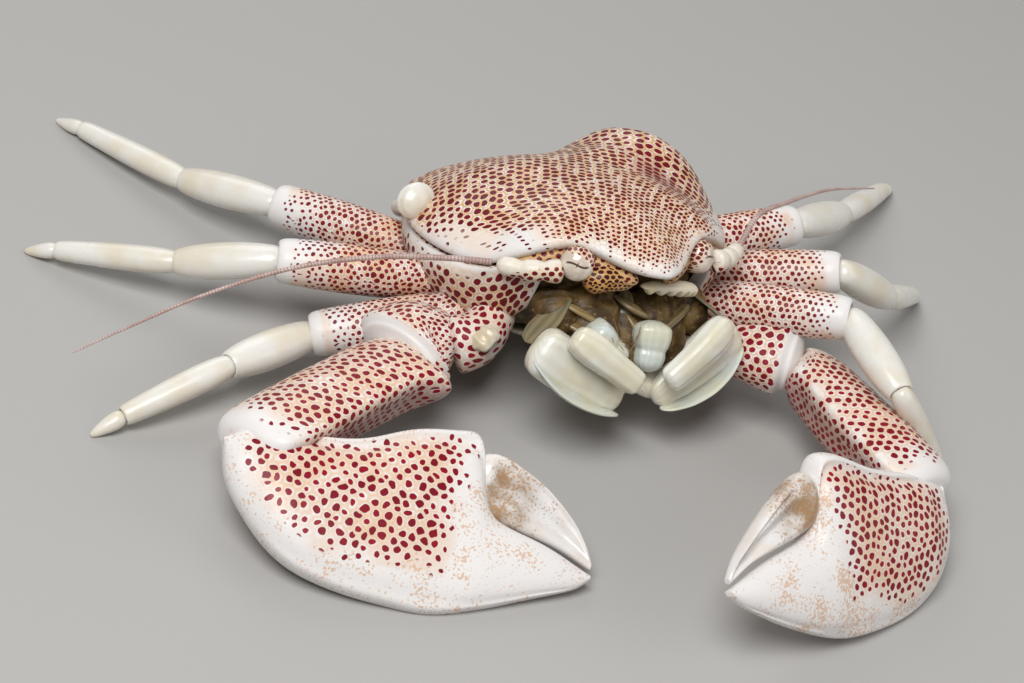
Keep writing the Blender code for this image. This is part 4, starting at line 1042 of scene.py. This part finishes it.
for side, sign in SIDES.items():
    mirror = -sign
    joints = ARM_JOINTS[side]
    root = CENTRED.inverted() @ BODY @ Vector((sign * 8.8, -5.2, -5.0))
    rings = tube([root] + joints["ischium"], (1.6, 2.0, 2.3, 2.5, 2.6, 2.7), 20, 22, ends=1.2)
    ischium = draw_out(f"claw_leg_ischium_{side}", rings, CENTRED, paint=lambda k, i, p: {
        "spots": ramp(k, 3.0, 6.0), "net": 0.6 * ramp(k, 3.0, 6.0), "stain": 0.25})
    put_on(ischium, ARM_SKINS["carpus", side], f"arm_ischium_{side}")
    rings = collared(tube(joints["merus"], ARM_MERUS_RADII[side], 24, 36, 0.74, ends=0.9))
    merus = draw_out(f"claw_leg_merus_{side}", rings, CENTRED, paint=lambda k, i, p: {
        "spots": ramp(k, 28.0, 26.0), "net": ramp(k, 28.0, 25.0), "stain": 0.12},
        rounds=1)
    put_on(merus, ARM_SKINS["merus", side], f"arm_merus_{side}")
    start, end = (Vector(p) for p in joints["carpus"])
    along = end - start
    place = CENTRED @ segment_frame(start, degrees(atan2(along.y, along.x)),
                                    degrees(asin(along.z / along.length)), 15.0 * mirror)
    rings = edged(ovals(along.length, thicker(CARPUS_SHAPE, 46), 32, mirror), mirror, along.length)

    def carpus_paint(k, i, p):
        share = p.x / along.length
        off = (2 * pi * (i + 0.5) / len(rings[0]) - EDGE_TURN + pi) % (2 * pi) - pi
        white = bump(off, 0.2) * ramp(abs(sin(EDGE_TEETH * pi * share)), 0.5, 0.9) * (side == "left")
        # Painted shade: the undercut side face below the toothed edge gets the dark pigment, standing in
        # for the shade that falls there.
        shade = 0.65 * ramp(-off, 0.15, 0.6) * ramp(-off, 2.2, 1.6)
        return {"spots": ramp(share, 0.97, 0.78) * ramp(share, 0.01, 0.12) * (1 - white),
                "net": ramp(share, 0.92, 0.75) * (1 - white), "stain": 0.2, "dark": shade}

    carpus = draw_out(f"claw_leg_carpus_{side}", rings, place, rounds=1, paint=carpus_paint)
    put_on(carpus, ARM_SKINS["carpus", side], f"arm_carpus_{side}")


# Hinge knob. A pale knob of shell stands on the right claw leg's root segment, where it leaves
# the body. It has grown out of that segment.
knob_shell = ivory("knob_shell", (0.70, 0.66, 0.58, 1), (0.60, 0.50, 0.34, 1), 0.5)
rings = tube([(-11.9, -9.3, 9.3), (-12.9, -10.0, 9.0), (-14.2, -10.3, 8.3)],
             (0.6, 1.2, 1.1, 1.3, 0.8), 14, 18, 0.6, ends=0.8)
for k, ring in enumerate(rings):
    for i, p in enumerate(ring):
        p.z += 0.14 * sin(1.7 * k) * cos(pi * i / 3.5)
knob = draw_out("claw_leg_knob_right", rings, CENTRED, rounds=1)
put_on(knob, knob_shell, "arm_ischium_right")


# Claws. The palm is a flat lens of shell with a spotted field and a wide white border, and its
# tip is the fixed finger. The movable finger is hollowed along its top like a spoon.
CLAW_POSE = {        # heading, rise, roll and length
    "right": (-33.6, -9.2, 25.2, 29.4),
    "left": (-165.7, 4.5, -50.0, 25.6),
}
PALM_OUTER = {       # share of the claw's length, distance outwards from its axis
    "right": [(-0.075, 0.0), (-0.03, 3.1), (0.08, 6.2), (0.19, 8.0), (0.33, 8.6),
              (0.48, 8.4), (0.6, 7.9), (0.725, 6.1), (0.86, 3.7), (0.96, 1.9), (1.0, 0.7)],
    "left": [(-0.075, 0.0), (-0.06, 3.0), (-0.02, 5.6), (0.08, 7.7), (0.24, 8.8),
             (0.44, 8.6), (0.585, 7.7), (0.765, 5.3), (0.91, 2.8), (0.97, 1.6), (1.0, 0.7)],
}
PALM_INNER = {       # the same on the side of the movable finger, down into the gape
    "right": [(-0.075, 0.4), (0.0, 2.6), (0.13, 2.9), (0.28, 4.2), (0.41, 6.6), (0.53, 7.9),
              (0.605, 8.4), (0.625, 6.2), (0.655, 3.4), (0.70, 1.6), (0.86, 0.9), (1.0, -0.2)],
    "left": [(-0.075, 0.4), (0.0, 1.6), (0.12, 3.0), (0.27, 4.5), (0.43, 6.9), (0.51, 7.3),
             (0.54, 6.6), (0.56, 4.6), (0.59, 2.4), (0.63, 1.2), (0.80, 0.7), (1.0, -0.2)],
}
FINGER_OUTER = {
    "right": [(0.60, 6.2), (0.63, 6.9), (0.69, 7.0), (0.81, 5.8), (0.915, 3.7),
              (0.97, 2.0), (1.0, 0.6)],
    "left": [(0.53, 5.2), (0.56, 6.2), (0.62, 6.2), (0.73, 5.1), (0.88, 3.0),
             (0.96, 1.6), (1.0, 0.6)],
}
THICKNESS = [(-0.08, 1.2), (-0.03, 3.2), (0.1, 5.2), (0.45, 5.2), (0.7, 3.8), (0.9, 2.2),
             (1.0, 0.9)]
FIELD_END = {"right": 0.61, "left": 0.56}


def lens(length, outer, inner, thickness, first, last, count, mirror, stations, relief):
    """Lens-shaped sections between the claw's outer and inner outlines."""
    outer, inner = rounded(outer), rounded(inner)
    sections = []
    for k in range(stations):
        share = first + (last - first) * (0.5 - 0.5 * cos(pi * k / (stations - 1)))
        low, high = -level_at(outer, share), level_at(inner, share)
        middle, reach = (low + high) / 2, max(0.1, (high - low) / 2)
        thick = level_at(thickness, share) / 2
        ring = []
        for i in range(count):
            across, up = cos(2 * pi * i / count), sin(2 * pi * i / count)
            high = thick * abs(up) ** 0.85
            if up > 0:
                high += relief(share, across)
            ring.append(Vector((share * length, mirror * (middle + reach * across),
                                high if up > 0 else -high)))
        sections.append(ring)
    return sections


def palm_relief(share, across):
    """A raised rim along the upper edge, a fine one along the outer edge, a flat between."""
    rim = ramp(share, 0.02, 0.12) * ramp(share, 0.64, 0.58)
    fine = ramp(share, 0.05, 0.2) * ramp(share, 0.98, 0.9)
    return (0.5 * bump(across - 0.93, 0.045) - 0.5 * bump(across - 0.82, 0.07)) * rim + (
        0.16 * bump(across + 0.97, 0.03) - 0.12 * bump(across + 0.88, 0.05)) * fine


def finger_relief(share, across):
    """A spoon-like hollow with a thick rim along the outer edge."""
    hollow = ramp(share, 0.60, 0.70) * ramp(share, 1.0, 0.9)
    groove = 0.4 * bump(across - 0.88, 0.08) - 0.35 * bump(across - 0.68, 0.07)
    return (groove - 1.2 * bump(across + 0.05, 0.5)) * hollow


def rounded(table):
    """The same outline on a smooth curve through its points."""
    return [(p.x, p.y) for p in spline([(x, y, 0) for x, y in table], 8 * len(table))]


def palm_paint(share, y, side):
    """A field of spots inside a wide white border, which is dusted with orange."""
    low, high = -level_at(PALM_OUTER[side], share), level_at(PALM_INNER[side], share)
    outer = 1.0 + 1.5 * ramp(share, 0.25, 0.55)
    along = 29           # millimetres to a share of one
    border = min(share * along + 1.2, (FIELD_END[side] - share) * along, y - low - outer,
                 (high - y - 0.5) * 2.2)
    strength = ramp(border, -0.1, 2.0)
    smudge = bump(share - 0.575, 0.04) * bump(y + 2.6, 1.0) * (side == "left")
    return {"spots": strength, "net": ramp(border, 0.4, 3.2),
            "stain": 0.6 - 0.35 * strength + 0.6 * smudge}


claw_ivory = ivory("claw_ivory", (0.75, 0.73, 0.72, 1), (0.72, 0.66, 0.60, 1))
for side, sign in SIDES.items():
    mirror = -sign
    end = Vector(ARM_JOINTS[side]["carpus"][1])
    heading, rise, roll, length = CLAW_POSE[side]
    place = CENTRED @ segment_frame(end, heading, rise, roll)
    rings = lens(length, PALM_OUTER[side], PALM_INNER[side], THICKNESS, -0.075, 1.0, 48, mirror,
                 50, palm_relief)
    palm = draw_out(f"claw_palm_{side}", rings, place,
                    skin=lambda k, i: rings[k][i % len(rings[k])].xy, rounds=1,
                    paint=lambda k, i, p: palm_paint(p.x / length, mirror * p.y, side))
    set_down(palm)
    put_on(palm, ARM_SKINS["palm", side], f"palm_{side}")
    start = FINGER_OUTER[side][0][0]
    inner = [(start, -4.4), (start + 0.05, -2.2), (start + 0.12, -1.5), (0.88, -1.1), (1.0, -0.2)]
    thick = [(start, 1.2), (start + 0.05, 3.2), (0.8, 2.6), (0.93, 1.7), (1.0, 0.6)]
    rings = lens(length, inner, FINGER_OUTER[side], thick, start, 0.995, 36, mirror, 36,
                 finger_relief)
    finger = draw_out(f"claw_finger_{side}", rings, place, rounds=1, paint=lambda k, i, p: {
        "stain": 0.25 + 0.6 * bump(p.x / length - start - 0.1, 0.1)})
    set_down(finger)
    put_on(finger, claw_ivory, f"finger_{side}")


# Studio. A plain pale floor, a soft light from the upper left and the view of the photograph:
# the camera stands 22 cm away and looks down at 38 degrees.
bpy.ops.mesh.primitive_grid_add(x_subdivisions=2, y_subdivisions=2, size=3.0, location=(0, 0, 0))
ground = bpy.context.active_object
ground.name = "studio_floor"
paper, tree = new_finish("studio_floor")
tree.nodes["Principled BSDF"].inputs["Base Color"].default_value = (0.40, 0.39, 0.375, 1)
tree.nodes["Principled BSDF"].inputs["Roughness"].default_value = 0.8
ground.data.materials.append(paper)
for name, place, aim, size, power in (
        ("key_light", (-0.16, -0.10, 0.34), (0, 0, 0.01), 0.20, 1.35),
        ("fill_light", (0.26, -0.24, 0.22), (0, 0, 0.01), 0.3, 0.36),
        ("back_light", (0.05, 0.30, 0.26), (0, 0, 0.01), 0.25, 0.35)):
    bpy.ops.object.light_add(type="AREA", location=place)
    lamp = bpy.context.active_object
    lamp.name = name
    lamp.data.size = size
    lamp.data.energy = power
    lamp.rotation_euler = (Vector(aim) - Vector(place)).to_track_quat("-Z", "Y").to_euler()
world = bpy.data.worlds.new("studio")
bpy.context.scene.world = world
world.use_nodes = True
world.node_tree.nodes["Background"].inputs["Color"].default_value = (1.0, 1.0, 1.0, 1)
world.node_tree.nodes["Background"].inputs["Strength"].default_value = 0.22
right = Vector((0.8671, -0.4538, 0.2056))
up = Vector((0.1494, 0.6307, 0.7615))
back = Vector((-0.4752, -0.6295, 0.6147))
camera = bpy.data.objects.new("photo_view", bpy.data.cameras.new("photo_view"))
bpy.context.scene.collection.objects.link(camera)
camera.matrix_world = (Matrix.Translation(Vector((-109.388, -137.527, 135.12)) * MM)
                       @ Matrix((right, up, back)).transposed().to_4x4())
camera.data.lens = 85
camera.data.sensor_width = 36
camera.data.clip_start = 0.01
bpy.context.scene.camera = camera
bpy.context.scene.view_settings.view_transform = "Standard"
